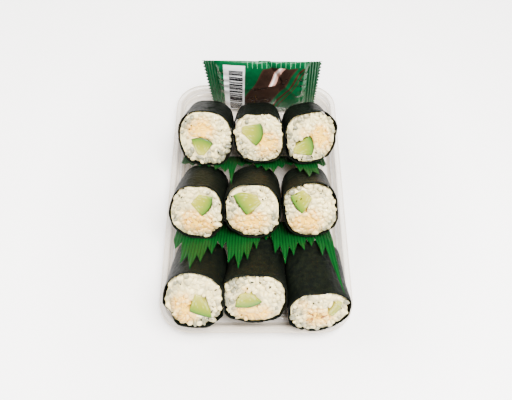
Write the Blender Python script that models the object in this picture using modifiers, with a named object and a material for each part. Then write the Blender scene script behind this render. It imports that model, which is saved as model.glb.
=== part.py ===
"""Tuna mayonnaise and cucumber sushi rolls, three rows of three in a clear takeaway tray.

Each roll is a nori wrapper round rice, with a stick of cucumber and a strand of tuna running
through it. The rows lean back to front, each row on the one before it, with a plastic grass
divider between. A filled condiment sachet stands behind the last row.

Units are metres, +Z is up and the cut faces look towards -Y. The origin is on the surface the
tray stands on, under the middle of the whole.
"""

import math
import random
from typing import NamedTuple

import bmesh
import bpy
from mathutils import Matrix, Vector, noise

MM = 0.001
GAP = 0.3 * MM  # clearance that touching pieces keep

# Tray
TRAY_HALF_WIDTH = 54.5 * MM
TRAY_HALF_LENGTH = 90.5 * MM
TRAY_CENTRE_Y = 1.0 * MM  # the front rolls overhang the rim by twice this
TRAY_HEIGHT = 13.5 * MM
TRAY_WALL = 0.8 * MM
TRAY_CORNER = 19 * MM
TRAY_FLANGE = 3.6 * MM
TRAY_LIP = 1.6 * MM
TRAY_STEP_DROP = 4.2 * MM
TRAY_STEP_IN = 0.8 * MM
TRAY_DRAFT = 1.0 * MM
TRAY_END_DRAFT = 3.4 * MM  # further draft of the two short walls
TRAY_FILLET = 1.2 * MM
CORNER_STEPS = 6

# Rolls
NORI_WALL = 0.5 * MM
NORI_RAGGED = 0.3 * MM  # how uneven its cut edges are
ROLL_SIDES = 22
ROLL_TAPER = 0.05  # the rear end is this share narrower than the face
ROLL_LUMPS = 0.04  # how far the section strays from a rounded square
ROLL_REST = 0.4 * MM  # from the tray's floor to a roll's lowest edge
RICE_EASE = 0.05 * MM  # further room between rice and nori where both have facets
RICE_PROUD = 0.5 * MM
CUCUMBER_PROUD = 1.0 * MM
END_DOME = 0.7 * MM  # how far the middle of a cut end stands out
END_RADIUS = 16 * MM
END_BUMP = 0.9 * MM  # height of the bumps, which are about the size of a grain of rice
REAR_SHARE = 0.5  # of the dome and bumps that the rear end has
GRAIN_CELL = 3.3 * MM
TUNA_CELL = 2.8 * MM
CELL_SHIFT = 0.2  # how far a bump strays, as a share of its cell
CUTTER_SPARE = 6 * MM
WEDGE_STEPS = 6
STRAND_STEPS = 12

# Plastic grass dividers
GRASS_WALL = 0.35 * MM
GRASS_PITCH = 5.0 * MM  # from blade to blade
GRASS_BLADES = 18
GRASS_CENTRE_X = -1.6 * MM
GRASS_ROWS = 7  # of faces, from the lower edge to the tips
GRASS_LEAST = 2.5  # millimetres of whole film past the line that the rolls pinch
GRASS_DIP = 2.5 * MM  # how far it sags between the rolls, GRASS_DIP_REACH past the straight part
GRASS_DIP_REACH = 20 * MM
DROOP_REACH = 8 * MM  # length over which it bends down
DROOP_STEPS = 8
COLUMN_PITCH = 31.5 * MM

# Sachet
SACHET_WIDTH = 73 * MM
SACHET_HEIGHT = 59 * MM
SACHET_THICKNESS = 9.5 * MM
SACHET_FILM = 0.9 * MM
SACHET_SEAL = 8 * MM
SACHET_CENTRE_X = 3.8 * MM
SACHET_SHIFT = 1.8 * MM  # further right of its lower edge
SACHET_BASE_Y = 78 * MM
SACHET_BASE_Z = 1.7 * MM
SACHET_LEAN = math.radians(10)
SACHET_FLARE = 0.03  # the top edge is this share wider than the middle
SACHET_WAVE = 0.8 * MM  # of the top edge
SACHET_CURL = 2.0 * MM  # of the bottom corners, to the back
SACHET_DENT = 2.6 * MM
DENT_ACROSS, DENT_UP = 0.25, 0.45  # the dent's centre, in half widths and half heights
DENT_WIDE, DENT_TALL = 0.16, 0.4


class Wedge(NamedTuple):
    """A quarter stick of cucumber in a roll's section, in millimetres and degrees."""

    across: float  # centre, to the right of the roll's axis
    up: float  # centre, above the roll's axis
    depth: float  # from the inner edge to the skin
    spread: float  # half angle of the wedge
    turn: float  # direction that the skin faces


class Strand(NamedTuple):
    """The strand of tuna in a roll's section, in millimetres and degrees."""

    across: float
    up: float
    half_across: float
    half_up: float
    turn: float


class Roll(NamedTuple):
    """One roll: where it stands in the tray, its lean and its section, in millimetres and degrees."""

    name: str
    rear_x: float
    rear_y: float  # where the rear end's lowest edge stands
    length: float
    lean: float  # the axis above the horizontal
    yaw: float  # positive turns the face towards +X
    half_width: float
    half_height: float
    squareness: float  # exponent of the section's superellipse
    turn: float  # how far the section is turned about the axis
    cucumber: Wedge
    tuna: Strand


ROLLS = (
    Roll("back_left", -30.9, 45.7, 44, 40, 0.1, 16.4, 17.0, 2.6, -5,
         Wedge(-1.7, -5.2, 11.6, 40, 84), Strand(-2.0, 4.8, 6.6, 5.4, 10)),
    Roll("back_middle", 1.3, 45.7, 44, 40, 0.2, 15.8, 16.2, 2.8, 4,
         Wedge(-2.6, 3.2, 13.0, 35, -18), Strand(5.8, -3.0, 5.2, 6.2, -35)),
    Roll("back_right", 32.8, 45.7, 44, 40, 0.5, 15.7, 16.0, 2.6, 12,
         Wedge(-3.4, -4.2, 12.6, 33, -4), Strand(5.4, 0.6, 4.8, 6.2, 20)),
    Roll("centre_left", -32.3, -5.1, 44, 40, -3.2, 15.5, 16.2, 2.4, -8,
         Wedge(4.4, 3.8, 12.4, 34, -22), Strand(1.2, -5.8, 8.2, 4.4, -14)),
    Roll("centre_middle", -0.8, -5.1, 44, 40, -2.0, 16.4, 16.0, 2.3, 0,
         Wedge(-3.2, 4.6, 14.6, 36, 216), Strand(-0.8, -6.2, 8.6, 4.2, 4)),
    Roll("centre_right", 30.9, -5.1, 44, 40, -1.0, 15.7, 15.7, 2.5, 10,
         Wedge(-5.0, 5.2, 12.6, 34, 222), Strand(-1.4, -5.6, 7.8, 4.8, 12)),
    Roll("front_left", -32.3, -55.2, 44, 36, -0.8, 15.8, 16.1, 2.3, -20,
         Wedge(3.6, -3.0, 13.8, 34, 248), Strand(-4.4, -4.4, 4.6, 6.8, 12)),
    Roll("front_middle", 0.2, -50.3, 42.5, 30, -1.0, 16.5, 14.6, 2.5, -4,
         Wedge(-3.6, 1.2, 14.0, 32, 262), Strand(-0.6, -7.2, 8.0, 3.4, 0)),
    Roll("front_right", 32.4, -49.8, 42, 20.5, 0.6, 16.3, 14.8, 2.3, 10,
         Wedge(7.8, 3.8, 9.4, 32, 40), Strand(0.2, -3.0, 5.8, 4.8, -10)),
)

MATERIALS = {
    # name: colour, roughness, alpha
    "clear_plastic": ((0.86, 0.88, 0.88), 0.08, 0.35),
    "nori": ((0.012, 0.016, 0.012), 0.45, 1.0),
    "rice": ((0.78, 0.77, 0.70), 0.4, 1.0),
    "cucumber": ((0.50, 0.58, 0.24), 0.35, 1.0),
    "tuna": ((0.72, 0.52, 0.33), 0.55, 1.0),
    "grass_plastic": ((0.02, 0.20, 0.05), 0.35, 1.0),
    "printed_film": ((0.01, 0.22, 0.08), 0.3, 1.0),
}


def clear_scene():
    for item in list(bpy.data.objects):
        bpy.data.objects.remove(item)


def new_collection(name):
    collection = bpy.data.collections.new(name)
    bpy.context.scene.collection.children.link(collection)
    return collection


def make_materials():
    made = {}
    for name, (colour, roughness, alpha) in MATERIALS.items():
        material = bpy.data.materials.new(name)
        material.use_nodes = True
        shader = material.node_tree.nodes["Principled BSDF"]
        shader.inputs["Base Color"].default_value = (*colour, 1.0)
        shader.inputs["Roughness"].default_value = roughness
        shader.inputs["Metallic"].default_value = 0.0
        shader.inputs["Alpha"].default_value = alpha
        made[name] = material
    return made


def add_object(name, mesh, collection, material=None, parent=None):
    item = bpy.data.objects.new(name, mesh)
    collection.objects.link(item)
    if material:
        mesh.materials.append(material)
    if parent:
        item.parent = parent
    return item


def add_cutter(name, mesh, collection, parent):
    item = add_object(name, mesh, collection, parent=parent)
    item.hide_render = True
    item.display_type = "WIRE"
    return item


def mesh_from(bm, name):
    mesh = bpy.data.meshes.new(name)
    bm.to_mesh(mesh)
    bm.free()
    return mesh


def solidify(item, thickness):
    modifier = item.modifiers.new("wall", "SOLIDIFY")
    modifier.thickness = thickness
    modifier.offset = -1
    modifier.use_even_offset = True


def boolean(item, operation, cutter):
    modifier = item.modifiers.new(operation.lower() + "_" + cutter.name, "BOOLEAN")
    modifier.operation = operation
    modifier.object = cutter
    modifier.solver = "MANIFOLD"


def smooth(mesh, sharp_degrees):
    mesh.shade_smooth()
    mesh.set_sharp_from_angle(angle=math.radians(sharp_degrees))


def loft(bm, rings):
    """Skin rings of equally many points, counterclockwise seen from the last ring's side."""
    loops = [[bm.verts.new(point) for point in points] for points in rings]
    for lower, upper in zip(loops, loops[1:]):
        for here in range(len(lower)):
            bm.faces.new((lower[here - 1], lower[here], upper[here], upper[here - 1]))
    return loops


def thick_grid(bm, columns, rows, half):
    """Two copies of a grid joined round their edge, to be moved apart: the lower and the upper."""
    bmesh.ops.create_grid(bm, x_segments=columns, y_segments=rows, size=half)
    lower = list(bm.verts)
    made = bmesh.ops.extrude_face_region(bm, geom=list(bm.faces))
    upper = [item for item in made["geom"] if isinstance(item, bmesh.types.BMVert)]
    return lower, upper


# Tray ------------------------------------------------------------------------------------


def rounded_rectangle(half_x, half_y, radius, z):
    points = []
    for corner, (side_x, side_y) in enumerate(((1, 1), (-1, 1), (-1, -1), (1, -1))):
        for step in range(CORNER_STEPS + 1):
            angle = math.radians(90 * (corner + step / CORNER_STEPS))
            points.append(
                Vector(
                    (
                        side_x * (half_x - radius) + radius * math.cos(angle),
                        TRAY_CENTRE_Y + side_y * (half_y - radius) + radius * math.sin(angle),
                        z,
                    )
                )
            )
    return points


def tray_profile():
    """(inset from the outer edge, height of the upper surface), from the lip to the floor."""
    step_z = TRAY_HEIGHT - TRAY_STEP_DROP
    step_out = TRAY_FLANGE + 0.3 * TRAY_DRAFT
    step_in = step_out + TRAY_STEP_IN
    floor = step_in + 0.7 * TRAY_DRAFT
    return (
        (0, TRAY_HEIGHT - TRAY_LIP),
        (0.5 * MM, TRAY_HEIGHT),
        (TRAY_FLANGE, TRAY_HEIGHT),
        (step_out, step_z),
        (step_in, step_z - 0.6 * MM),
        (floor, TRAY_WALL + TRAY_FILLET),
        (floor + TRAY_FILLET, TRAY_WALL),
    )


def make_tray(collection, material):
    """A thermoformed shell: flat floor, steep wall with a lid step, flange and turned-down lip."""
    rings = []
    for inset, z in tray_profile():
        end_draft = TRAY_END_DRAFT * (1 - (z - TRAY_WALL) / (TRAY_HEIGHT - TRAY_WALL))
        if inset < TRAY_FLANGE:
            end_draft = 0
        points = rounded_rectangle(
            TRAY_HALF_WIDTH - inset, TRAY_HALF_LENGTH - inset - end_draft, TRAY_CORNER - inset, z
        )
        rings.append(points)
    bm = bmesh.new()
    loops = loft(bm, rings)
    bm.faces.new(loops[-1])
    mesh = mesh_from(bm, "tray")
    smooth(mesh, 35)
    tray = add_object("tray", mesh, collection, material)
    solidify(tray, TRAY_WALL)


# Rolls -----------------------------------------------------------------------------------


def section_radius(roll, angle):
    """Radius of the roll's outer section at an angle from +X, in metres."""
    turned = angle - math.radians(roll.turn)
    across = abs(math.cos(turned)) / roll.half_width
    up = abs(math.sin(turned)) / roll.half_height
    radius = (across**roll.squareness + up**roll.squareness) ** (-1 / roll.squareness)
    lump = noise.noise(Vector((1.4 * math.cos(angle), 1.4 * math.sin(angle), roll.rear_x)))
    return radius * (1 + ROLL_LUMPS * (lump - 0.3)) * MM


def section_ring(roll, z, inset=0.0):
    """The section at a height along the roll, which narrows towards the rear."""
    taper = 1 - ROLL_TAPER * (1 - z / (roll.length * MM))
    points = []
    for side in range(ROLL_SIDES):
        angle = math.tau * side / ROLL_SIDES
        radius = section_radius(roll, angle) * taper - inset
        points.append(Vector((radius * math.cos(angle), radius * math.sin(angle), z)))
    return points


def prism(rings, name):
    """A closed solid through rings of points, capped at both ends."""
    bm = bmesh.new()
    loops = loft(bm, rings)
    bm.faces.new(reversed(loops[0]))
    bm.faces.new(loops[-1])
    return mesh_from(bm, name)


def extruded(outline, low, high, name):
    return prism([[Vector((*point, z)) for point in outline] for z in (low, high)], name)


def placed(points, piece):
    """An outline in a filling's own axes, in metres, turned and moved to where the filling runs."""
    turn = Matrix.Rotation(math.radians(piece.turn), 2)
    centre = Vector((piece.across, piece.up)) * MM
    return [centre + turn @ point for point in points]


def wedge_outline(wedge, grow=0.0):
    """The cucumber's section: two cut sides from a blunt inner edge to a round skin."""
    spread = math.radians(wedge.spread)
    blunt = 0.16 * wedge.depth
    points = [Vector((blunt, 1.0)), Vector((blunt, -1.0))]
    for step in range(WEDGE_STEPS + 1):
        share = 2 * step / WEDGE_STEPS - 1
        reach = wedge.depth * (1 - 0.1 * share**4)
        points.append(Vector((reach * math.cos(spread * share), reach * math.sin(spread * share))))
    middle = Vector((0.62 * wedge.depth, 0))
    outline = []
    for point in points:
        local = (point - middle) * MM
        outline.append(local + local.normalized() * grow)
    return placed(outline, wedge)


def strand_outline(strand, grow=0.0):
    """The tuna's section: a lumpy oval."""
    points = []
    for step in range(STRAND_STEPS):
        angle = math.tau * step / STRAND_STEPS
        lump = 1 + 0.12 * math.sin(3 * angle + strand.across) + 0.06 * math.cos(5 * angle)
        x = (strand.half_across * MM * lump + grow) * math.cos(angle)
        y = (strand.half_up * MM * lump + grow) * math.sin(angle)
        points.append(Vector((x, y)))
    return placed(points, strand)


def lumpy_block(centre, half, length, cell, name):
    """A block whose ends bulge and have bumps, one at each corner of a grid of cells."""
    cells = round(2 * half / cell)
    bm = bmesh.new()
    rear, front = thick_grid(bm, cells, cells, half)
    bmesh.ops.translate(bm, verts=rear, vec=(*centre, 0))
    bmesh.ops.translate(bm, verts=front, vec=(*centre, length))
    draw = random.Random(name)
    for outwards, verts in ((-REAR_SHARE, rear), (1, front)):
        for vert in verts:
            bulge = max(0, 1 - (vert.co.xy.length / END_RADIUS) ** 2)
            vert.co.z += outwards * (END_DOME * bulge + END_BUMP * draw.random())
            if all(abs(offset) < half - cell / 2 for offset in vert.co.xy - centre):
                vert.co.x += CELL_SHIFT * cell * draw.uniform(-1, 1)
                vert.co.y += CELL_SHIFT * cell * draw.uniform(-1, 1)
    return mesh_from(bm, name)


def make_roll_frame(roll, collection):
    """An empty that carries the roll: local Z is its axis towards the face, local Y is up the face."""
    lean = math.radians(roll.lean)
    rear_radius = -min(point.y for point in section_ring(roll, 0))
    frame = bpy.data.objects.new("frame_" + roll.name, None)
    collection.objects.link(frame)
    frame.rotation_euler = (math.radians(90) - lean, 0, math.radians(roll.yaw))
    frame.location = (
        roll.rear_x * MM,
        roll.rear_y * MM + rear_radius * math.sin(lean),
        TRAY_WALL + ROLL_REST + rear_radius * math.cos(lean),
    )
    return frame


def make_nori(roll, frame, collection, material):
    """The seaweed wrapper, an open tube with slightly uneven cut edges."""
    draw = random.Random(roll.name)
    rings = []
    for z, inwards in ((0, 1), (roll.length * MM, -1)):
        points = section_ring(roll, z)
        for point in points:
            point.z += inwards * NORI_RAGGED * draw.random()
        rings.append(points)
    bm = bmesh.new()
    loft(bm, rings)
    mesh = mesh_from(bm, "nori")
    smooth(mesh, 50)
    nori = add_object("nori_" + roll.name, mesh, collection, material, frame)
    solidify(nori, NORI_WALL)


def make_filling(roll, frame, parts, cutters, materials):
    """Rice, tuna and cucumber, each cut clear of the others."""
    length = roll.length * MM
    low, high = -CUTTER_SPARE, length + CUTTER_SPARE

    def cutter(kind, mesh):
        return add_cutter(kind + "_" + roll.name, mesh, cutters, frame)

    inset = NORI_WALL + GAP + RICE_EASE
    rings = [section_ring(roll, z, inset) for z in (low, high)]
    rice_form = cutter("rice_form", prism(rings, "rice_form"))
    tuna_form = cutter("tuna_form", extruded(strand_outline(roll.tuna), low, high, "tuna_form"))
    tuna_hole = cutter("tuna_hole", extruded(strand_outline(roll.tuna, GAP), low, high, "tuna_hole"))
    wedge_hole = cutter(
        "wedge_hole", extruded(wedge_outline(roll.cucumber, GAP), low, high, "wedge_hole")
    )

    half = max(roll.half_width, roll.half_height) * MM + GRAIN_CELL / 2
    name = "rice_" + roll.name
    block = lumpy_block(Vector((0, 0)), half, length + RICE_PROUD, GRAIN_CELL, name)
    rice = add_object(name, block, parts, materials["rice"], frame)
    boolean(rice, "INTERSECT", rice_form)
    boolean(rice, "DIFFERENCE", tuna_hole)
    boolean(rice, "DIFFERENCE", wedge_hole)

    half = max(roll.tuna.half_across, roll.tuna.half_up) * MM + TUNA_CELL
    centre = Vector((roll.tuna.across, roll.tuna.up)) * MM
    name = "tuna_" + roll.name
    block = lumpy_block(centre, half, length + RICE_PROUD, TUNA_CELL, name)
    tuna = add_object(name, block, parts, materials["tuna"], frame)
    boolean(tuna, "INTERSECT", tuna_form)
    boolean(tuna, "DIFFERENCE", wedge_hole)

    name = "cucumber_" + roll.name
    stick = extruded(wedge_outline(roll.cucumber), 0, length + CUCUMBER_PROUD, name)
    smooth(stick, 30)
    add_object(name, stick, parts, materials["cucumber"], frame)


# Plastic grass ---------------------------------------------------------------------------


class Grass(NamedTuple):
    """A divider: where its straight lower edge starts, its slope, and how its tips droop."""

    name: str
    base_y: float  # millimetres
    base_z: float
    slope: float  # degrees, of the part that the rolls pinch
    straight: float  # millimetres from the base before it starts to droop
    droop_left: float  # degrees that the tips have turned down, at each side
    droop_right: float
    pinch: float  # millimetres from the base to the line that the rolls pinch
    cut: float  # millimetres that a notch is deeper than the shorter blade beside it
    trail: float  # millimetres that the last blade leans to the right
    tips: tuple[float, ...]  # millimetres from the pinched line to each tip, from the left


GRASSES = (
    Grass("grass_back", 29.6, 12.3, 40.8, 33, 0, 0, 16, 8, 0,
          (5, 9, 11.5, 12, 19, 24, 43.5, 12, 8, 15, 22, 26, 16, 8, 24, 36, 30, 12)),
    Grass("grass_front", -18.9, 11.4, 39, 28, 0.5, 17, 16, 9, 5,
          (25, 41, 49, 41, 30, 23, 37, 43.5, 35, 24, 13, 27, 35.5, 28, 24, 20, 28.5, 54)),
)


def grass_point(grass, x, reach):
    """Where a point of the flat divider lies, x across and reach metres up from its lower edge."""
    side = max(0, (x - GRASS_CENTRE_X) / (GRASS_BLADES * GRASS_PITCH) + 0.5)
    droop = math.radians(grass.droop_left + (grass.droop_right - grass.droop_left) * side**1.5)
    slope = math.radians(grass.slope)
    straight = min(reach, grass.straight * MM)
    y = grass.base_y * MM - straight * math.cos(slope)
    z = grass.base_z * MM + straight * math.sin(slope)
    free = reach - straight
    for step in range(DROOP_STEPS):
        stretch = free / DROOP_STEPS
        angle = slope - droop * min(1, (step + 0.5) * stretch / DROOP_REACH)
        y -= stretch * math.cos(angle)
        z += stretch * math.sin(angle)
    valley = 0.5 - 0.5 * math.cos(math.tau * x / COLUMN_PITCH)
    z -= GRASS_DIP * valley * (free / GRASS_DIP_REACH) ** 1.5
    return Vector((x, y, z))


def blade_reaches(grass):
    """How far the film reaches from its lower edge at each notch and tip in turn, in metres."""
    tips = [grass.pinch + tip for tip in grass.tips]
    notches = [min(pair) - grass.cut for pair in zip(tips, tips[1:])]
    ends = [grass.pinch + grass.tips[side] / 2 for side in (0, -1)]
    reaches = []
    for notch, tip in zip([ends[0], *notches], tips):
        reaches += [max(grass.pinch + GRASS_LEAST, notch) * MM, tip * MM]
    return [*reaches, ends[1] * MM]


def make_grass(grass, collection, material):
    """A strip of pointed blades whose lengths rise and fall in hills."""
    columns = 2 * GRASS_BLADES
    reaches = blade_reaches(grass)
    bm = bmesh.new()
    bmesh.ops.create_grid(bm, x_segments=columns, y_segments=GRASS_ROWS, size=1)
    for vert in bm.verts:
        column = round((vert.co.x + 1) / 2 * columns)
        reach = reaches[column] * (vert.co.y + 1) / 2
        x = GRASS_CENTRE_X + GRASS_PITCH * (column / 2 - GRASS_BLADES / 2)
        if column > columns - 2:
            x += grass.trail * MM * (max(0, reach / MM - grass.pinch) / grass.tips[-1]) ** 2
        vert.co = grass_point(grass, x, reach)
    mesh = mesh_from(bm, grass.name)
    item = add_object(grass.name, mesh, collection, material)
    solidify(item, GRASS_WALL)


# Sachet ----------------------------------------------------------------------------------


def pouch_thickness(across, up):
    """Thickness of the filled pouch at shares of its half width and height, -1 to 1."""
    seal = 1 - 2 * SACHET_SEAL / SACHET_WIDTH
    inside = max(0, 1 - (abs(across) / seal) ** 3)
    swell = max(0, 1 - abs(up) ** 3)
    return SACHET_FILM + (SACHET_THICKNESS - SACHET_FILM) * (inside * swell) ** 0.6


def pouch_point(across, up, is_front):
    """A point of the pouch, standing on its lower long edge and leaning towards the rolls."""
    share = (up + 1) / 2
    x = SACHET_WIDTH / 2 * (1 + SACHET_FLARE * up) * across
    height = SACHET_HEIGHT * share - SACHET_WAVE * share * math.sin(2.3 * across + 0.6)
    back = SACHET_CURL * across**4 * (1 - share)
    half_thickness = pouch_thickness(across, up) / 2
    if is_front:
        off_centre = ((across - DENT_ACROSS) / DENT_WIDE) ** 2 + ((up - DENT_UP) / DENT_TALL) ** 2
        back -= half_thickness - SACHET_DENT * math.exp(-off_centre)
    else:
        back += half_thickness
    return Vector(
        (
            SACHET_CENTRE_X + SACHET_SHIFT * (1 - share) + x,
            SACHET_BASE_Y + back * math.cos(SACHET_LEAN) - height * math.sin(SACHET_LEAN),
            SACHET_BASE_Z + height * math.cos(SACHET_LEAN) - back * math.sin(SACHET_LEAN),
        )
    )


def make_sachet(collection, material):
    """A pillow pouch: flat crimped ends, a folded top edge and a swollen middle."""
    columns, rows = 16, 10
    bm = bmesh.new()
    back, front = thick_grid(bm, columns, rows, 1)
    for is_front, verts in ((True, front), (False, back)):
        for vert in verts:
            vert.co = pouch_point(vert.co.x, vert.co.y, is_front)
    mesh = mesh_from(bm, "sachet")
    smooth(mesh, 40)
    add_object("sachet", mesh, collection, material)


def main():
    clear_scene()
    parts = new_collection("sushi_tray")
    cutters = new_collection("cutters")
    materials = make_materials()
    make_tray(parts, materials["clear_plastic"])
    for roll in ROLLS:
        frame = make_roll_frame(roll, parts)
        make_nori(roll, frame, parts, materials["nori"])
        make_filling(roll, frame, parts, cutters, materials)
    for grass in GRASSES:
        make_grass(grass, parts, materials["grass_plastic"])
    make_sachet(parts, materials["printed_film"])


main()
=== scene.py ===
"""Tuna mayonnaise and cucumber sushi rolls in a clear takeaway tray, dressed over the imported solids.

Each piece is built in the frame of the solids, in metres, with +Z up and the cut faces towards -Y.
The sizes that the solids fix are repeated here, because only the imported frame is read.
"""

import math
import random
from typing import NamedTuple

import bmesh
import bpy
from bpy.props import FloatProperty, FloatVectorProperty, IntProperty, PointerProperty
from mathutils import Matrix, Vector, kdtree, noise


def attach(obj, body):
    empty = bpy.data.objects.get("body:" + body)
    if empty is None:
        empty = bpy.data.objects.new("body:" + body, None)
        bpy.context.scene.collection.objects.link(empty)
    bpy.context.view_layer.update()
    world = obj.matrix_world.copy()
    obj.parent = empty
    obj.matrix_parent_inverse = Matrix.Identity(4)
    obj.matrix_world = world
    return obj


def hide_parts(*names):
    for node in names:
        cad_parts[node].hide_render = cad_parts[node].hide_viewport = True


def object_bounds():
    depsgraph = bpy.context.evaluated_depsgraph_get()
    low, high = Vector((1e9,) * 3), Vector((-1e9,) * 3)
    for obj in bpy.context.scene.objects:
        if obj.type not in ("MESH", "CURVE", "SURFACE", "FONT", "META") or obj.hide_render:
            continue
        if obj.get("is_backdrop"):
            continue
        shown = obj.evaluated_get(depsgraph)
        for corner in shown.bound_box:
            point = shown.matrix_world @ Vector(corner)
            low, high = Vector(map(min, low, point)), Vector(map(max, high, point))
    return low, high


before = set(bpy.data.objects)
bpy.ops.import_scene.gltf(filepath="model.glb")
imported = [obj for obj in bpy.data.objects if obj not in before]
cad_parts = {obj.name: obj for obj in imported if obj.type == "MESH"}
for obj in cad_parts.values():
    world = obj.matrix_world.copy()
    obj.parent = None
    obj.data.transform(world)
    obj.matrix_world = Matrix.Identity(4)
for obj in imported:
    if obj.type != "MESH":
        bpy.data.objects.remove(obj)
SOLID_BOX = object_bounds()

bl_info = {
    "name": "Tuna cucumber roll tray",
    "version": (1, 0, 0),
    "blender": (4, 5, 0),
    "location": "View3D > Sidebar > Sushi",
    "description": "Builds nine cut sushi rolls, their tray, plastic grass and sachet",
    "category": "Object",
}

MM = 0.001
BODY = "root"


def colour(code):
    """An sRGB hex colour as linear RGBA."""
    parts = [int(code[start : start + 2], 16) / 255 for start in (1, 3, 5)]
    linear = [c / 12.92 if c <= 0.04045 else ((c + 0.055) / 1.055) ** 2.4 for c in parts]
    return (*linear, 1.0)


def length(name, description, millimetres):
    """A property for a size, with its default in millimetres."""
    return FloatProperty(name=name, description=description, default=millimetres * MM, unit="LENGTH")


def tint(name, description, code):
    """A property for a colour, with its default as sRGB hex."""
    return FloatVectorProperty(
        name=name, description=description, size=4, min=0, max=1, subtype="COLOR", default=colour(code)
    )


# What the solids fix ---------------------------------------------------------------------


class Stick(NamedTuple):
    """A stick of cucumber in a roll's section, by its corners, in millimetres from the roll's axis.

    Left and right are as seen from the inner edge, looking towards the skin.
    """

    skin_left: tuple[float, float]
    skin_right: tuple[float, float]
    inner_right: tuple[float, float]
    inner_left: tuple[float, float]
    bulge: float  # how far the skin stands out from the line between its corners
    left_bulge: float
    right_bulge: float
    shown: float = 1.0  # share of the way from the seeds to the skin that this stick has


class Strand(NamedTuple):
    """The strand of tuna in a roll's section, in millimetres and degrees."""

    across: float
    up: float
    half_across: float
    half_up: float
    turn: float


class Roll(NamedTuple):
    """One roll: where it stands in the tray, its lean and its section, in millimetres and degrees."""

    name: str
    rear_x: float
    rear_y: float  # where the rear end's lowest edge stands
    length: float
    lean: float
    yaw: float
    half_width: float
    half_height: float
    squareness: float  # exponent of the section's superellipse
    turn: float
    cucumber: Stick
    tuna: Strand


ROLLS = (
    Roll("back_left", -30.9, 45.7, 44, 40, 0.1, 16.4, 17.0, 2.6, -5,
         Stick((-8.3, -0.9), (4.5, -3.7), (-0.8, -11.0), (-4.3, -10.6), 2.0, 0.3, 0.2),
         Strand(-2.0, 4.8, 6.6, 5.4, 10)),
    Roll("back_middle", 1.3, 45.7, 44, 40, 0.2, 15.8, 16.2, 2.8, 4,
         Stick((1.3, 9.0), (-1.4, -4.5), (-9.9, 3.9), (-9.6, 7.2), 2.9, 0.3, 0.3),
         Strand(5.8, -3.0, 5.2, 6.2, -35)),
    Roll("back_right", 32.8, 45.7, 44, 40, 0.5, 15.7, 16.0, 2.6, 12,
         Stick((-0.8, 1.2), (0.9, -10.2), (-10.2, -9.0), (-10.4, -5.9), 1.9, 0.2, 0.2),
         Strand(5.4, 0.6, 4.8, 6.2, 20)),
    Roll("centre_left", -32.3, -5.1, 44, 40, -3.2, 15.5, 16.2, 2.4, -8,
         Stick((9.8, 8.5), (4.3, -2.4), (-2.3, 4.5), (2.1, 9.9), 1.6, 0.2, 0.2),
         Strand(1.2, -5.8, 8.2, 4.4, -14)),
    Roll("centre_middle", -0.8, -5.1, 44, 40, -2.0, 16.4, 16.0, 2.3, 0,
         Stick((-3.3, -2.3), (-11.0, 8.9), (1.8, 9.4), (5.0, 5.0), 0.4, 0.3, 1.9),
         Strand(-0.8, -6.2, 8.6, 4.2, 4)),
    Roll("centre_right", 30.9, -5.1, 44, 40, -1.0, 15.7, 15.7, 2.5, 10,
         Stick((-4.5, -1.3), (-11.4, 8.6), (-4.2, 12.6), (0.7, 7.7), 0.7, 0.3, 0.2),
         Strand(-1.4, -5.6, 7.8, 4.8, 12)),
    Roll("front_left", -32.3, -55.2, 44, 36, -0.8, 15.8, 16.1, 2.3, -20,
         Stick((9.8, -9.8), (-1.7, -5.9), (1.5, 4.2), (4.3, 3.3), 0.5, 1.3, 0.2),
         Strand(-4.4, -4.4, 4.6, 6.8, 12)),
    Roll("front_middle", 0.2, -50.3, 42.5, 30, -1.0, 16.5, 14.6, 2.5, -4,
         Stick((3.6, 0.2), (-10.5, -3.0), (-8.0, 4.9), (-3.3, 6.0), 1.9, 0.2, 0.4),
         Strand(-0.6, -7.2, 8.0, 3.4, 0)),
    Roll("front_right", 32.4, -49.8, 42, 20.5, 0.6, 16.3, 14.8, 2.3, 10,
         Stick((12.0, 6.8), (7.5, -2.5), (5.2, 0.2), (8.6, 8.0), 0.9, 0.3, 0.4, 0.6),
         Strand(0.2, -3.0, 5.8, 4.8, -10)),
)
ROLL_TAPER = 0.05  # share by which the rear end is smaller than the face
ROLL_LUMPS = 0.04  # share of its radius by which a section is uneven
LUMP_RING = 1.4  # radius of the ring on which the lumps' noise is read
LUMP_LEVEL = 0.3  # noise that leaves the radius as it is
ROLL_REST = 1.2 * MM  # from the table to a roll's lowest edge
RICE_PROUD = 0.5 * MM  # past the end of the roll
CUCUMBER_PROUD = 1.0 * MM
END_DOME = 0.7 * MM  # that the middle of a cut end stands out
END_RADIUS = 16 * MM
TURNS = 120  # steps in the table of a section's radii


def section_radius(roll, angle):
    """Radius of the roll's outer section at an angle from +X, in metres."""
    turned = angle - math.radians(roll.turn)
    across = abs(math.cos(turned)) / roll.half_width
    up = abs(math.sin(turned)) / roll.half_height
    radius = (across**roll.squareness + up**roll.squareness) ** (-1 / roll.squareness)
    spot = Vector((LUMP_RING * math.cos(angle), LUMP_RING * math.sin(angle), roll.rear_x))
    return radius * (1 + ROLL_LUMPS * (noise.noise(spot) - LUMP_LEVEL)) * MM


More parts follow.
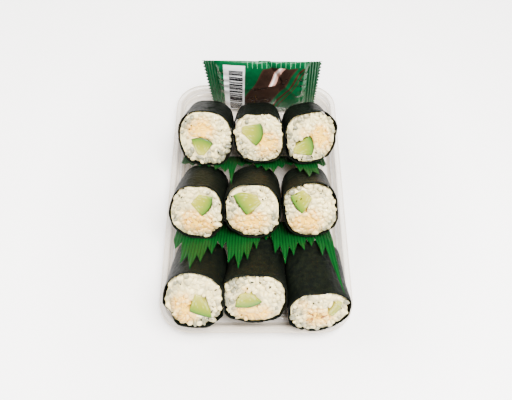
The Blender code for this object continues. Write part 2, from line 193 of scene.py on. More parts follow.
# How far each cut face swells past its solid, in millimetres, every 30 degrees from +X
SWELLS = {
    "back_left": (1.2, -0.3, -0.6, -0.3, -0.2, 0.4, -0.2, -1.2, 0.6, 1.5, 1.5, 1.4),
    "back_middle": (0.5, 0.3, -0.2, -0.8, 0.2, 0.8, -0.6, -1.0, -1.6, -1.0, -0.4, -0.1),
    "back_right": (-0.9, 2.0, 1.4, 0.4, 0.5, 0.0, -0.2, 1.6, 0.6, -1.0, -1.1, -1.8),
    "centre_left": (0.4, 0.0, 0.2, -1.5, -1.0, -0.8, -0.2, -0.4, -0.6, 0.4, 1.8, 1.9),
    "centre_middle": (0.1, 0.3, 0.3, 0.1, 1.0, 0.7, -0.3, -0.3, -0.4, 0.2, 0.3, 0.2),
    "centre_right": (0.2, 0.9, 1.5, 1.6, 1.4, 1.6, -0.4, -0.8, -0.5, -0.3, -0.6, 0.0),
    "front_left": (0.2, 0.3, 1.0, 0.1, 0.5, 0.6, 0.0, -1.6, 0.8, 0.5, 1.5, 2.4),
    "front_middle": (1.3, 1.9, 2.8, 2.0, 2.6, 3.6, 1.5, 1.0, -0.6, -0.3, -1.2, 0.0),
    "front_right": (0.3, 2.4, 1.2, -0.8, 0.6, -0.4, -0.4, 1.0, 0.2, 0.0, -1.4, -1.2),
}
SWELL_FROM = 0.5  # share of the roll's length at which its section starts to swell
SIDE_SWELL = 0.6  # millimetres that its sides stand out half way along
PRESS_GAP = 0.12 * MM  # from the plane between two rolls that press on each other to either
FILM_GAP = 0.42 * MM  # from a divider's plane to the underside of a roll that rests on it
ROW_DEPTH = 9  # millimetres, within which the rear ends of one row stand
BESIDE = 40  # millimetres, within which two rolls of a row are neighbours
ON_FILM = 20  # millimetres behind a divider's lower edge, within which its row stands
SIDE_HOLD = 0.6  # share of the taper that the soft sides don't have


def swell(roll, angle, z):
    """How far the soft roll stands out from its solid's section, in metres."""
    table = SWELLS[roll.name]
    place = (angle / math.tau * len(table)) % len(table)
    low, high = table[int(place)], table[(int(place) + 1) % len(table)]
    at_face = low + (high - low) * smoothstep(0, 1, place % 1)
    side = math.cos(angle) ** 4 * (1 - abs(2 * z / (roll.length * MM) - 1) ** 3)
    return (at_face * smoothstep(SWELL_FROM, 1, z / (roll.length * MM)) + SIDE_SWELL * side) * MM


def press(roll, vert, inside=0.0):
    """Flattens a roll's point, in the frame, where a neighbour or the divider under it presses.

    inside is how much further in than the leaf the point has to stay, in metres.
    """
    for other in ROLLS:
        gap = other.rear_x - roll.rear_x
        if abs(other.rear_y - roll.rear_y) > ROW_DEPTH or not 0 < abs(gap) < BESIDE:
            continue
        mine, theirs = (
            one.rear_x * MM + math.tan(math.radians(one.yaw)) * (one.rear_y * MM - vert.co.y)
            for one in (roll, other)
        )
        middle = mine + (theirs - mine) * roll.half_width / (roll.half_width + other.half_width)
        if gap > 0:
            vert.co.x = min(vert.co.x, middle - PRESS_GAP - inside)
        else:
            vert.co.x = max(vert.co.x, middle + PRESS_GAP + inside)
    for grass in GRASSES:
        slope = math.radians(grass.slope)
        above = Vector((0, math.sin(slope), math.cos(slope)))
        height = above.dot(vert.co) - above.dot(Vector((0, grass.base_y, grass.base_z)) * MM)
        if grass.base_y < roll.rear_y < grass.base_y + ON_FILM:
            vert.co += above * max(0.0, FILM_GAP + inside - height)


def taper(roll, z, side=0.0):
    """Share of the face's size that the section has along the roll; its soft sides narrow less."""
    return 1 - ROLL_TAPER * (1 - SIDE_HOLD * side) * (1 - z / (roll.length * MM))


def roll_matrix(roll):
    """From a roll's own axes, +Z along it to the face and +Y up the face, to the frame."""
    lean = math.radians(roll.lean)
    angles = [math.tau * step / TURNS for step in range(TURNS)]
    rear = (1 - ROLL_TAPER) * max(-math.sin(angle) * section_radius(roll, angle) for angle in angles)
    place = Vector(
        (roll.rear_x * MM, roll.rear_y * MM + rear * math.sin(lean), ROLL_REST + rear * math.cos(lean))
    )
    turn = Matrix.Rotation(math.radians(roll.yaw), 4, "Z")
    return Matrix.Translation(place) @ turn @ Matrix.Rotation(math.pi / 2 - lean, 4, "X")


def end_height(point):
    """How far the middle of a cut end stands out at a point of the section."""
    return END_DOME * max(0.0, 1 - (point.length / END_RADIUS) ** 2)


# Shared helpers --------------------------------------------------------------------------


def add_node(tree, kind, inputs=(), stops=(), **settings):
    """Adds a node, sets it and its colour stops, and sets or links its inputs by name or number."""
    made = tree.nodes.new(kind)
    for key, value in settings.items():
        setattr(made, key, value)
    for number, (place, shade) in enumerate(stops):
        points = made.color_ramp.elements
        point = points[number] if number < 2 else points.new(place)
        point.position, point.color = place, shade
    for socket, value in dict(inputs).items():
        if isinstance(value, bpy.types.NodeSocket):
            tree.links.new(value, made.inputs[socket])
        else:
            made.inputs[socket].default_value = value
    return made


def pitch(millimetres):
    """Scale of a noise on Object coordinates whose lumps are that far apart."""
    return 1 / (millimetres * MM)


def new_material(name, **numbers):
    """A material and its node tree, with the shader's plain numbers set by name."""
    material = bpy.data.materials.new(name)
    material.use_nodes = True
    shader = material.node_tree.nodes["Principled BSDF"]
    for socket, value in numbers.items():
        shader.inputs[socket.replace("_", " ")].default_value = value
    return material, material.node_tree


def feed(tree, **outputs):
    """Links outputs of other nodes to the shader's sockets by name."""
    shader = tree.nodes["Principled BSDF"]
    for socket, output in outputs.items():
        tree.links.new(output, shader.inputs[socket.replace("_", " ")])


def mesh_from(bm, name):
    """Moves a finished shape into a mesh of its own."""
    mesh = bpy.data.meshes.new(name)
    bm.to_mesh(mesh)
    bm.free()
    return mesh


def finish_piece(bm, name, materials, nodes, sharp=180):
    """Makes the shape a piece that rides on the frame and stands for its solids."""
    for face in bm.faces:
        face.smooth = True
    mesh = mesh_from(bm, name)
    if sharp < 180:
        mesh.set_sharp_from_angle(angle=math.radians(sharp))
    for material in materials:
        mesh.materials.append(material)
    item = bpy.data.objects.new(name, mesh)
    bpy.context.scene.collection.objects.link(item)
    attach(item, BODY)
    if nodes:
        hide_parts(*nodes)
    return item


def thicken(item, wall, offset=-1):
    """A live Solidify modifier, which leaves the outer surface where it is."""
    modifier = item.modifiers.new("wall", "SOLIDIFY")
    modifier.thickness = wall
    modifier.offset = offset


def outwards(bm):
    """Points every face of a closed shell outwards."""
    bmesh.ops.recalc_face_normals(bm, faces=bm.faces[:])
    if bm.calc_volume(signed=True) < 0:
        bmesh.ops.reverse_faces(bm, faces=bm.faces[:])


def solid_copy(node):
    """The solid's mesh with its loose triangles merged."""
    bm = bmesh.new()
    bm.from_mesh(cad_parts[node].data)
    bmesh.ops.remove_doubles(bm, verts=bm.verts[:], dist=1e-6)
    merged = bpy.data.meshes.new("merged")
    bm.to_mesh(merged)
    bm.clear()  # so that what is added later comes after these vertices
    bm.from_mesh(merged)
    bpy.data.meshes.remove(merged)
    return bm


def append_mesh(bm, mesh, matrix):
    """Adds a template's mesh at a place, and returns its vertices."""
    before = len(bm.verts)
    bm.from_mesh(mesh)
    bm.verts.ensure_lookup_table()
    added = bm.verts[before:]
    bmesh.ops.transform(bm, matrix=matrix, verts=added)
    return added


def fractal(point, scale, seed=0.0, octaves=3):
    """Smooth noise of about -1 to 1 whose largest lumps are scale metres apart."""
    return noise.fractal(point / scale + Vector((seed, 0, 0)), 0.9, 2.1, octaves)


def smoothstep(low, high, value):
    """0 below low and 1 above high, with a smooth rise between them."""
    share = min(1.0, max(0.0, (value - low) / (high - low)))
    return share * share * (3 - 2 * share)


def line_distance(point, start, end):
    """Distance from a point to the line between two others."""
    edge = end - start
    share = min(1.0, max(0.0, (point - start).dot(edge) / edge.length_squared))
    return (point - start - edge * share).length


def outline_distance(point, outline):
    """Distance from a point to an outline, negative inside it."""
    inside, nearest = False, math.inf
    for a, b in zip(outline, outline[1:] + outline[:1]):
        nearest = min(nearest, line_distance(point, a, b))
        if (a.y > point.y) != (b.y > point.y):
            if point.x < a.x + (point.y - a.y) / (b.y - a.y) * (b.x - a.x):
                inside = not inside
    return -nearest if inside else nearest


def sink_ends(vert, long, near, face, rear):
    """Moves a point in from the cut end that it is near, along a filling that starts at Z = 0."""
    if vert.co.z > long - near:
        vert.co.z -= face
    elif vert.co.z < near:
        vert.co.z += rear


def chart_loops(bm, chart, places):
    """Writes each vertex's place to the map that a pattern follows."""
    for face in bm.faces:
        for loop in face.loops:
            loop[chart].uv = places[loop.vert]


def new_verts(made):
    """The vertices among what an operator has made."""
    return [item for item in made["geom"] if isinstance(item, bmesh.types.BMVert)]


def placed(point, piece):
    """A point in a filling's own axes, in metres, turned and moved to where the filling runs."""
    turn = Matrix.Rotation(math.radians(piece.turn), 2)
    return Vector((piece.across, piece.up)) * MM + turn @ point


# Tray ------------------------------------------------------------------------------------

TRAY_HALF_WIDTH = 54.5 * MM
TRAY_HALF_LENGTH = 90.5 * MM
TRAY_CENTRE_Y = 1.0 * MM
TRAY_HEIGHT = 13.5 * MM
TRAY_FLOOR = 0.4 * MM
TRAY_CORNER = 19 * MM  # radius at the outer edge
TRAY_LEAST_CORNER = 4 * MM
TRAY_END_DRAFT = 3.4 * MM  # that the end walls lean in more than the sides, at the floor
TRAY_FLANGE = 3.3 * MM  # inset of the flange's inner edge
CORNER_STEPS, SIDE_STEPS, END_STEPS = 12, 60, 36  # of the mesh, round the tray
RIBS_START, RIBS_STOP = (4.6, 5.0), (5.3, 5.9)  # insets over which the wall's ribs rise and fade
# Inset from the outer edge, height, and how bent the sheet is there, which sets the painted haze of the
# bends, from the lip to the floor
TRAY_PROFILE = (
    (0.0, 11.9, 1), (0.1, 12.8, 1), (0.5, 13.4, 0.6), (1.1, 13.5, 0.1), (2.9, 13.3, 0.1), (3.5, 13.0, 0.8),
    (3.75, 12.4, 1), (3.9, 10.0, 0.2), (4.0, 9.4, 0.7), (4.3, 9.1, 1), (4.6, 8.9, 1), (4.8, 8.4, 0.7),
    (4.95, 6.0, 0.1), (5.2, 3.2, 0.1), (5.4, 2.0, 0.4), (6.0, 0.9, 1), (7.0, 0.4, 0.5), (7.6, 0.4, 0),
    (9.8, 0.4, 0), (10.2, 0.6, 1), (10.7, 1.0, 0.2), (12.0, 1.0, 0.2), (12.5, 0.6, 1), (12.9, 0.4, 0),
)


class TrayProperties(bpy.types.PropertyGroup):
    """Sizes and tint of the clear tray."""

    wall: length("Wall", "Thickness of the sheet that the tray is drawn from", 0.4)
    rib_pitch: length("Rib pitch", "Distance between the stiffening ribs of the wall", 6.0)
    rib_depth: length("Rib depth", "How far a rib stands in", 0.25)
    sheet: tint("Sheet", "Tint of the clear plastic", "#C9BCA8")
    clear: FloatProperty(name="Flat haze", description="Opacity of the flat sheet", default=0.26,
                         min=0, max=1, subtype="FACTOR")
    # Bend haze is a painted haze that stands in for the light that the sheet's bends reflect
    bent: FloatProperty(name="Bend haze", description="Opacity where the sheet bends", default=0.62,
                        min=0, max=1, subtype="FACTOR")


def tray_material(look):
    """Thermoformed clear PET: nearly invisible face on, greyer at its bends, where a painted haze stands in
    for the light that the bends catch.
    """
    material, tree = new_material("clear_pet_thermoformed", Base_Color=look.sheet, Roughness=0.1, IOR=1.5)
    place = add_node(tree, "ShaderNodeTexCoord").outputs["Object"]
    # Ripples of a drawn sheet
    ripple = add_node(tree, "ShaderNodeTexNoise", {"Vector": place, "Scale": pitch(16.67), "Detail": 1.0})
    bump = add_node(tree, "ShaderNodeBump", {"Height": ripple.outputs[0], "Strength": 0.2,
                                             "Distance": 1.0 * MM})
    # Painted reflection: the sheet is more opaque where it bends
    bend = add_node(tree, "ShaderNodeAttribute", attribute_name="bend")
    painted_bend_haze = add_node(tree, "ShaderNodeMapRange", {"Value": bend.outputs["Fac"], "To Min": look.clear,
                                                  "To Max": look.bent})
    feed(tree, Normal=bump.outputs[0], Alpha=painted_bend_haze.outputs[0])
    return material


class SUSHI_OT_add_tray(bpy.types.Operator):
    """Adds the thin clear tray with its step, flange, lip and wall ribs"""

    bl_idname = "sushi.add_tray"
    bl_label = "Tray"

    def execute(self, context):
        look = context.scene.sushi_tray
        bm = bmesh.new()
        bend = bm.verts.layers.float.new("bend")
        around = bmesh.ops.create_circle(
            bm, segments=4 * CORNER_STEPS + 2 * (SIDE_STEPS + END_STEPS), radius=1
        )["verts"]
        edges = bm.edges[:]
        for level, (inset, height, bent) in enumerate(TRAY_PROFILE):
            if level > 0:
                made = bmesh.ops.extrude_edge_only(bm, edges=edges)
                edges = [item for item in made["geom"] if isinstance(item, bmesh.types.BMEdge)]
                around = self.in_order(new_verts(made), around)
            for vert, point in zip(around, self.rounded(inset * MM, height * MM, look)):
                vert.co, vert[bend] = point, bent
        bmesh.ops.contextual_create(bm, geom=edges)
        bmesh.ops.recalc_face_normals(bm, faces=bm.faces[:])
        floor = max(bm.faces, key=lambda face: face.calc_area())
        if floor.normal.z < 0:
            bmesh.ops.reverse_faces(bm, faces=bm.faces[:])
        item = finish_piece(bm, "tray_clear", [tray_material(look)], ["tray"], 40)
        thicken(item, look.wall)
        return {"FINISHED"}

    def in_order(self, verts, previous):
        """The new ring's vertices in the order of the ring that they came from."""
        above = {}
        for vert in verts:
            for edge in vert.link_edges:
                above[edge.other_vert(vert)] = vert
        return [above[vert] for vert in previous]

    def rounded(self, inset, z, look):
        """One ring of the tray: points of a rounded rectangle, with the wall's ribs."""
        drop = 1 - (z - TRAY_FLOOR) / (TRAY_HEIGHT - TRAY_FLOOR)
        end_draft = TRAY_END_DRAFT * drop if inset > TRAY_FLANGE else 0
        radius = max(TRAY_LEAST_CORNER, TRAY_CORNER - inset)
        reach_x = TRAY_HALF_WIDTH - inset - radius
        reach_y = TRAY_HALF_LENGTH - inset - end_draft - radius
        centres = [Vector((x * reach_x, y * reach_y)) for x, y in ((1, 1), (-1, 1), (-1, -1), (1, -1))]
        ring = []
        for corner, centre in enumerate(centres):
            for step in range(CORNER_STEPS):
                ring.append((centre, math.pi / 2 * (corner + step / (CORNER_STEPS - 1))))
            straight = SIDE_STEPS if corner % 2 else END_STEPS
            for step in range(1, straight + 1):
                spot = centre.lerp(centres[(corner + 1) % 4], step / (straight + 1))
                ring.append((spot, math.pi / 2 * (corner + 1)))
        points = []
        on_wall = smoothstep(*RIBS_START, inset / MM) * (1 - smoothstep(*RIBS_STOP, inset / MM))
        for centre, angle in ring:
            out = Vector((math.cos(angle), math.sin(angle)))
            flat = centre + out * radius
            along = flat.y if abs(out.x) > 0.7 else flat.x
            rib = 0.5 + 0.5 * math.cos(math.tau * along / look.rib_pitch)
            flat -= out * look.rib_depth * on_wall * rib**3
            points.append(Vector((flat.x, flat.y + TRAY_CENTRE_Y, z)))
        return points


# Nori ------------------------------------------------------------------------------------

LEAF_COLUMNS, LEAF_ROWS = 150, 56  # of the mesh, round the roll and along it
LEAF_LAP = 0.07  # of a turn, that the leaf's outer end covers its inner end
LAP_STEP = 0.06  # of a turn, over which the leaf comes out from under its outer end
LEAF_SEAM = (-110, -70)  # degrees between which the seam lies, under the roll
LEAF_PROUD = 0.55 * MM  # past the end of the roll at the face
LEAF_SHORT = 0.1 * MM  # of the end of the roll at the rear
LEAF_INSET = 0.08 * MM  # from the solid's surface
LEAF_TUCK = 0.42 * MM  # that the inner end lies deeper
WRINKLE_RING = 16 * MM  # radius of the ring on which the wrinkles' noise is read
LONG_FOLD, CROSS_FOLD = 5 * MM, 7 * MM  # from fold to fold
FRAY_DEPTH, FRAY_REACH = 0.12 * MM, 2.5 * MM
SMOOTH_EDGE, WRINKLED = 1.5 * MM, 6 * MM  # from a cut edge to where wrinkles start and are full
RAG_WIDTH = 2.2 * MM  # from notch to notch of a ragged edge
RAG_REACH = 6 * MM  # from a cut edge, within which the mesh follows it
FLAP_FOLD = 1.2  # millimetres that a flap folds in for each that it stands out
SIDE_SMOOTH = 0.6  # share of the wrinkles' depth that a roll's pressed sides don't have


class NoriProperties(bpy.types.PropertyGroup):
    """Sizes and colours of the roasted seaweed."""

    wall: length("Leaf", "Thickness of the damp leaf", 0.3)
    wrinkle: length("Wrinkles", "Depth of the wrinkles", 0.6)
    ragged: length("Ragged edge", "How uneven the cut edges are", 0.45)
    dark: tint("Leaf colour", "Colour of the leaf", "#050806")
    fleck: tint("Fleck colour", "Colour of its thin and olive places", "#14180C")


# Where a leaf's cut edge is torn: angle and half width in degrees, depth in millimetres. Below zero
# it is a flap that stands out and folds in over the rice.
TORN = {
    "front_left": ((202, 10, -1.9), (224, 9, -1.2), (213, 4, 2.0)), "front_middle": ((236, 7, -1.0),),
    "front_right": ((232, 8, -1.4), (246, 4, 1.5)), "centre_left": ((205, 12, 1.4),),
    "centre_middle": ((148, 8, -0.9), (236, 8, 1.0)), "centre_right": ((250, 8, 1.2), (318, 6, -0.8)),
    "back_left": ((196, 9, 1.2),), "back_middle": ((128, 8, -0.8),), "back_right": ((300, 12, 1.2),),
}


def nori_material(look):
    """Roasted laver, damp from the rice: a pressed-fibre gloss with olive thin places."""
    material, tree = new_material("nori_roasted_damp", IOR=1.3, Specular_IOR_Level=0.12)
    place = add_node(tree, "ShaderNodeTexCoord").outputs["Object"]
    # Thick and thin places of the pressed pulp
    patches = add_node(tree, "ShaderNodeTexNoise", {"Vector": place, "Scale": pitch(3.03), "Detail": 5.0,
                                                    "Roughness": 0.7})
    thin = add_node(tree, "ShaderNodeMapRange", {"Value": patches.outputs[0], "From Min": 0.42,
                                                 "From Max": 0.88})
    mixed = add_node(tree, "ShaderNodeMix", {0: thin.outputs[0], 6: look.dark, 7: look.fleck},
                     data_type="RGBA")
    rough = add_node(tree, "ShaderNodeMapRange", {"Value": patches.outputs[0], "To Min": 0.4,
                                                  "To Max": 0.75})
    # Its fibres are finer than this, and are drawn as coarse as shows
    fibre = add_node(tree, "ShaderNodeTexNoise", {"Vector": place, "Scale": pitch(1.11), "Detail": 3.0})
    fine = add_node(tree, "ShaderNodeBump", {"Height": fibre.outputs[0], "Strength": 0.35,
                                             "Distance": 0.4 * MM})
    crinkle = add_node(tree, "ShaderNodeBump", {"Height": patches.outputs[0], "Strength": 0.5,
                                                "Distance": 1.0 * MM, "Normal": fine.outputs[0]})
    feed(tree, Base_Color=mixed.outputs[2], Roughness=rough.outputs[0], Normal=crinkle.outputs[0])
    return material


class SUSHI_OT_add_nori(bpy.types.Operator):
    """Adds the nine wrinkled leaves, each wound a little over one turn"""

    bl_idname = "sushi.add_nori"
    bl_label = "Nori"

    def execute(self, context):
        look = context.scene.sushi_nori
        material = nori_material(look)
        for roll in ROLLS:
            self.leaf(roll, look, material)
        return {"FINISHED"}

    def leaf(self, roll, look, material):
        """Adds one leaf: a sheet wound round its roll, wrinkled, with ragged and torn edges."""
        draw = random.Random(roll.name)
        seam = math.radians(draw.uniform(*LEAF_SEAM))
        seed = draw.uniform(0, 90)
        bm = bmesh.new()
        bmesh.ops.create_grid(bm, x_segments=LEAF_COLUMNS, y_segments=LEAF_ROWS, size=0.5)
        for vert in bm.verts:
            turn, up = vert.co.x + 0.5, vert.co.y + 0.5
            angle = seam + math.tau * (1 + LEAF_LAP) * turn
            z = roll.length * MM * up
            ring = Vector((math.cos(angle), math.sin(angle), 0)) * WRINKLE_RING
            edge = min(z, roll.length * MM - z)
            side = math.cos(angle) ** 2
            radius = section_radius(roll, angle) * taper(roll, z, side) + swell(roll, angle, z)
            inwards = look.wrinkle * self.wrinkles(ring, z, seed)
            inwards *= (1 - SIDE_SMOOTH * side) * smoothstep(SMOOTH_EDGE, WRINKLED, edge)
            tucked = LEAF_TUCK * (1 - smoothstep(LEAF_LAP, LEAF_LAP + LAP_STEP, turn))
            radius -= LEAF_INSET + inwards + tucked
            radius -= FRAY_DEPTH * (1 - smoothstep(0, FRAY_REACH, edge)) * draw.random()
            is_face = up > 0.5
            rag = look.ragged * (0.5 + fractal(ring, RAG_WIDTH, seed + 40 * is_face, 3))
            fade = max(0.0, 1 - edge / RAG_REACH)
            z += (LEAF_PROUD - rag if is_face else rag + LEAF_SHORT) * fade
            for centre, wide, deep in TORN[roll.name] if is_face else ():
                off = (math.degrees(angle) - centre + 180) % 360 - 180
                share = math.exp(-((off / wide) ** 2)) * fade
                z -= deep * MM * share
                radius -= max(0.0, -deep) * FLAP_FOLD * MM * share * fade
            vert.co = Vector((radius * math.cos(angle), radius * math.sin(angle), z))
        bmesh.ops.transform(bm, matrix=roll_matrix(roll), verts=bm.verts[:])
        for vert in bm.verts:
            press(roll, vert)
        name = "nori_" + roll.name
        item = finish_piece(bm, "leaf_" + roll.name, [material], [name])
        thicken(item, look.wall)

    def wrinkles(self, ring, z, seed):
        """Depth of the wrinkles, 0 on their crests: some run along the roll and others cross them."""
        long_folds = 1 - abs(fractal(Vector((ring.x, ring.y, z * 0.35)), LONG_FOLD, seed, 2))
        crossing = 1 - abs(fractal(Vector((ring.x, ring.y, z * 1.3)), CROSS_FOLD, seed + 9, 3))
        return 1.0 - 0.6 * long_folds**4 - 0.4 * crossing**4


# Rice ------------------------------------------------------------------------------------

# Bend, flatness and how much narrower one end is, of each kind of grain
GRAIN_KINDS = ((0.10, 0.92, 0.0), (0.2, 0.85, 0.16), (-0.08, 1.0, 0.1))
GRAIN_BLUNT = 0.82  # below 1, the ends are blunter than a ball's
GRAIN_LAYERS = (2.4 * MM, 1.2 * MM, 0.1 * MM)  # how far each layer of grains is sunk
GRAIN_TILTS = ((-18, 18), (-40, 40), (50, 80))  # degrees: lying, leaning and standing grains
GRAIN_SPACING = 0.58  # of a grain's width, least distance between the balls of two grains
FACE_SEAT, REAR_SEAT = 0.95 * MM, 0.7 * MM  # from the cut to the middles of its top grains
RIM_TOP, RIM_SUNK = 0.45 * MM, 0.95 * MM  # from the roll's edge to the top layer, and to sunk ones
STRAND_HOLD = 2.2 * MM  # that the middle of a ball may stand in over the tuna
CORE_NEAR = 2 * MM  # from a cut, within which a point of the core belongs to its end
CORE_SKIN = 0.8  # share of the lesser half size, past which a point of the core is on its skin
CORE_UNDER = 0.5 * MM  # that the core's skin lies under the solid's
CORE_SINK = (1.4 * MM, 2.0 * MM)  # that its ends lie deeper, at the face and the rear
CORE_TONE = 0.35
GRAIN_PROUD = 0.1 * MM  # past the solid's rice, where the knife has cut the grains
CUT_LEAVES = 0.25  # share of what stands out further that it leaves
# Painted shade: grains near the rim, most at the lower left, are greyer, partly where the leaf shows through
# and partly as painted shade
SHADE_GREY_FROM, SHADE_GREY_TO = 7.5 * MM, 14 * MM  # from the axis, between which more grains are grey
SHADE_LOW_LEFT = 0.2  # share of x and of y by which that moves in at the lower left
SOAK_FROM, SOAK_TO = -0.5 * MM, 4.5 * MM  # from the strand's outline, between which the stain fades
SOAK_SPOT = 0.85  # how soaked the rice is at the places in SOAKED
RICE_UNDER_LEAF = 0.45 * MM  # where a neighbour presses the roll flat
CRUMB_LONG, CRUMB_WIDE, CRUMB_HIGH = (0.4, 1.1), (0.25, 0.5), 0.3  # half sizes, in millimetres


class RiceProperties(bpy.types.PropertyGroup):
    """Sizes and colours of the cooked rice."""

    grain_length: length("Grain length", "Length of a cooked short grain", 5.6)
    grain_width: length("Grain width", "Width of a cooked short grain", 3.1)
    rice: tint("Rice", "Colour of the rice", "#F3DD9E")
    shade: tint("Rice shade", "Colour of its more translucent grains", "#D3C28C")
    # Glassy rice is also the painted shade of the grains near the rim, most at the lower left
    glassy_and_rim_shade: tint("Glassy rice", "Colour of the grains that the leaf shows through", "#7A765C")
    stain: tint("Stain", "Colour of rice that the mayonnaise has soaked", "#E2AA3C")
    crumbs: IntProperty(name="Crumbs", description="Crumbs of the leaf on each cut face", default=9)
    tries: IntProperty(name="Tries", description="Places tried for each layer of grains", default=2600)


def grain_templates(look):
    """A few cooked grains about the origin: blunt, slightly bent, long along X."""
    meshes = []
    for kind, (bend, flat, chip) in enumerate(GRAIN_KINDS):
        bm = bmesh.new()
        bmesh.ops.create_uvsphere(bm, u_segments=8, v_segments=6, radius=1,
                                  matrix=Matrix.Rotation(math.pi / 2, 4, "Y"))
        for vert in bm.verts:
            x, y, z = vert.co
            blunt = math.copysign(abs(x) ** GRAIN_BLUNT, x)
            z += bend * x * x
            narrow = 1 - chip * max(0.0, x) ** 2
            vert.co = Vector((blunt * look.grain_length / 2, y * narrow * look.grain_width / 2,
                              z * narrow * flat * look.grain_width / 2))
        meshes.append(mesh_from(bm, "grain_%d" % kind))
    return meshes


def rice_material(look):
    """Cooked short-grain rice: translucent starch with a wet skin, stained near the mayonnaise."""
    material, tree = new_material(
        "rice_cooked_short_grain", Roughness=0.32, IOR=1.42, Subsurface_Weight=0.45,
        Subsurface_Radius=(1.0, 0.9, 0.75), Subsurface_Scale=1.3 * MM, Coat_Weight=0.08,
    )
    tone = add_node(tree, "ShaderNodeAttribute", attribute_name="tone")
    stain = add_node(tree, "ShaderNodeAttribute", attribute_name="stain")
    place = add_node(tree, "ShaderNodeTexCoord").outputs["Object"]
    # The stain is patchy from half grain to half grain
    cloud = add_node(tree, "ShaderNodeTexNoise", {"Vector": place, "Scale": pitch(2.63), "Detail": 2.0})
    patchy = add_node(tree, "ShaderNodeMath", {0: stain.outputs["Fac"], 1: cloud.outputs[0]},
                      operation="MULTIPLY")
    soaked = add_node(tree, "ShaderNodeMath", {0: patchy.outputs[0], 1: 1.35}, operation="MULTIPLY",
                      use_clamp=True)
    # Cloudiness changes along most of a grain's length
    mottle = add_node(tree, "ShaderNodeTexNoise", {"Vector": place, "Scale": pitch(4.35), "Detail": 1.0})
    lifted = add_node(tree, "ShaderNodeMapRange", {"Value": mottle.outputs[0], "From Min": 0.3,
                                                   "From Max": 0.7, "To Min": -0.2, "To Max": 0.25})
    varied = add_node(tree, "ShaderNodeMath", {0: tone.outputs["Fac"], 1: lifted.outputs[0]},
                      use_clamp=True)
    # Tone runs from plain rice through its translucent grains to glassy rice, whose far end is painted rim
    # shade
    base = add_node(tree, "ShaderNodeValToRGB", {0: varied.outputs[0]},
                    stops=((0.0, look.rice), (1.0, look.glassy_and_rim_shade), (0.5, look.shade)))
    mixed = add_node(tree, "ShaderNodeMix", {0: soaked.outputs[0], 6: base.outputs[0], 7: look.stain},
                     data_type="RGBA")
    bump = add_node(tree, "ShaderNodeBump", {"Height": cloud.outputs[0], "Strength": 0.2,
                                             "Distance": 0.4 * MM})
    feed(tree, Base_Color=mixed.outputs[2], Normal=bump.outputs[0])
    return material


def stick_point(stick, share, across):
    """A point of the cucumber's section: share from its inner edge to the skin, across -1 to 1."""
    left = Vector(stick.inner_left).lerp(Vector(stick.skin_left), share)
    right = Vector(stick.inner_right).lerp(Vector(stick.skin_right), share)
    chord = Vector(stick.skin_left) - Vector(stick.skin_right)
    out = Vector((chord.y, -chord.x)).normalized()
    sideways = chord.normalized() * 4 * share * (1 - share)
    left += sideways * stick.left_bulge
    right -= sideways * stick.right_bulge
    point = right.lerp(left, (across + 1) / 2)
    return (point + out * stick.bulge * (1 - across**2) * share**1.5) * MM


def stick_outline(stick):
    """The cucumber's section in the roll's axes."""
    skin = [stick_point(stick, 1, step / 3 - 1) for step in range(7)]
    sides = [stick_point(stick, share, 1) for share in (0.66, 0.33, 0)]
    return [*skin, *sides, *[stick_point(stick, share, -1) for share in (0, 0.33, 0.66)]]


def strand_outline(strand):
    """The tuna's section in the roll's axes, a lumpy ellipse."""
    points = []
    steps = 12
    for step in range(steps):
        angle = math.tau * step / steps
        lump = 1 + 0.12 * math.sin(3 * angle + strand.across) + 0.06 * math.cos(5 * angle)
        reach = Vector((strand.half_across * math.cos(angle), strand.half_up * math.sin(angle)))
        points.append(placed(reach * lump * MM, strand))
    return points


# Places, besides the strand, that the mayonnaise has reached: across, up and radius in millimetres
SOAKED = {
    "back_left": ((3.0, 2.0, 3.5),), "back_middle": ((2.0, -7.0, 4.5), (9.0, 2.0, 3.0)),
    "back_right": ((-4.5, 3.5, 3.5), (6.0, 6.5, 3.0)), "centre_left": ((-4.0, -1.0, 3.0), (8.0, -3.0, 3.5)),
    "centre_middle": ((4.5, -2.0, 3.5), (-7.5, -3.0, 3.0)), "centre_right": ((3.0, -1.0, 4.0),),
    "front_left": ((-3.5, 2.5, 4.0), (0.5, -9.0, 3.0)), "front_middle": ((-5.0, 8.0, 2.5), (5.0, -4.0, 3.5)),
    "front_right": ((-8.0, 6.0, 4.0), (4.0, -1.0, 3.5)),
}


def soak_at(roll, strand, point):
    """How soaked the rice is at a point of the section, 0 to 1."""
    reach = 1 - smoothstep(SOAK_FROM, SOAK_TO, outline_distance(point, strand))
    for across, up, radius in SOAKED[roll.name]:
        off = (point - Vector((across, up)) * MM).length
        reach = max(reach, SOAK_SPOT * (1 - smoothstep(0.3 * radius * MM, 1.3 * radius * MM, off)))
    return reach


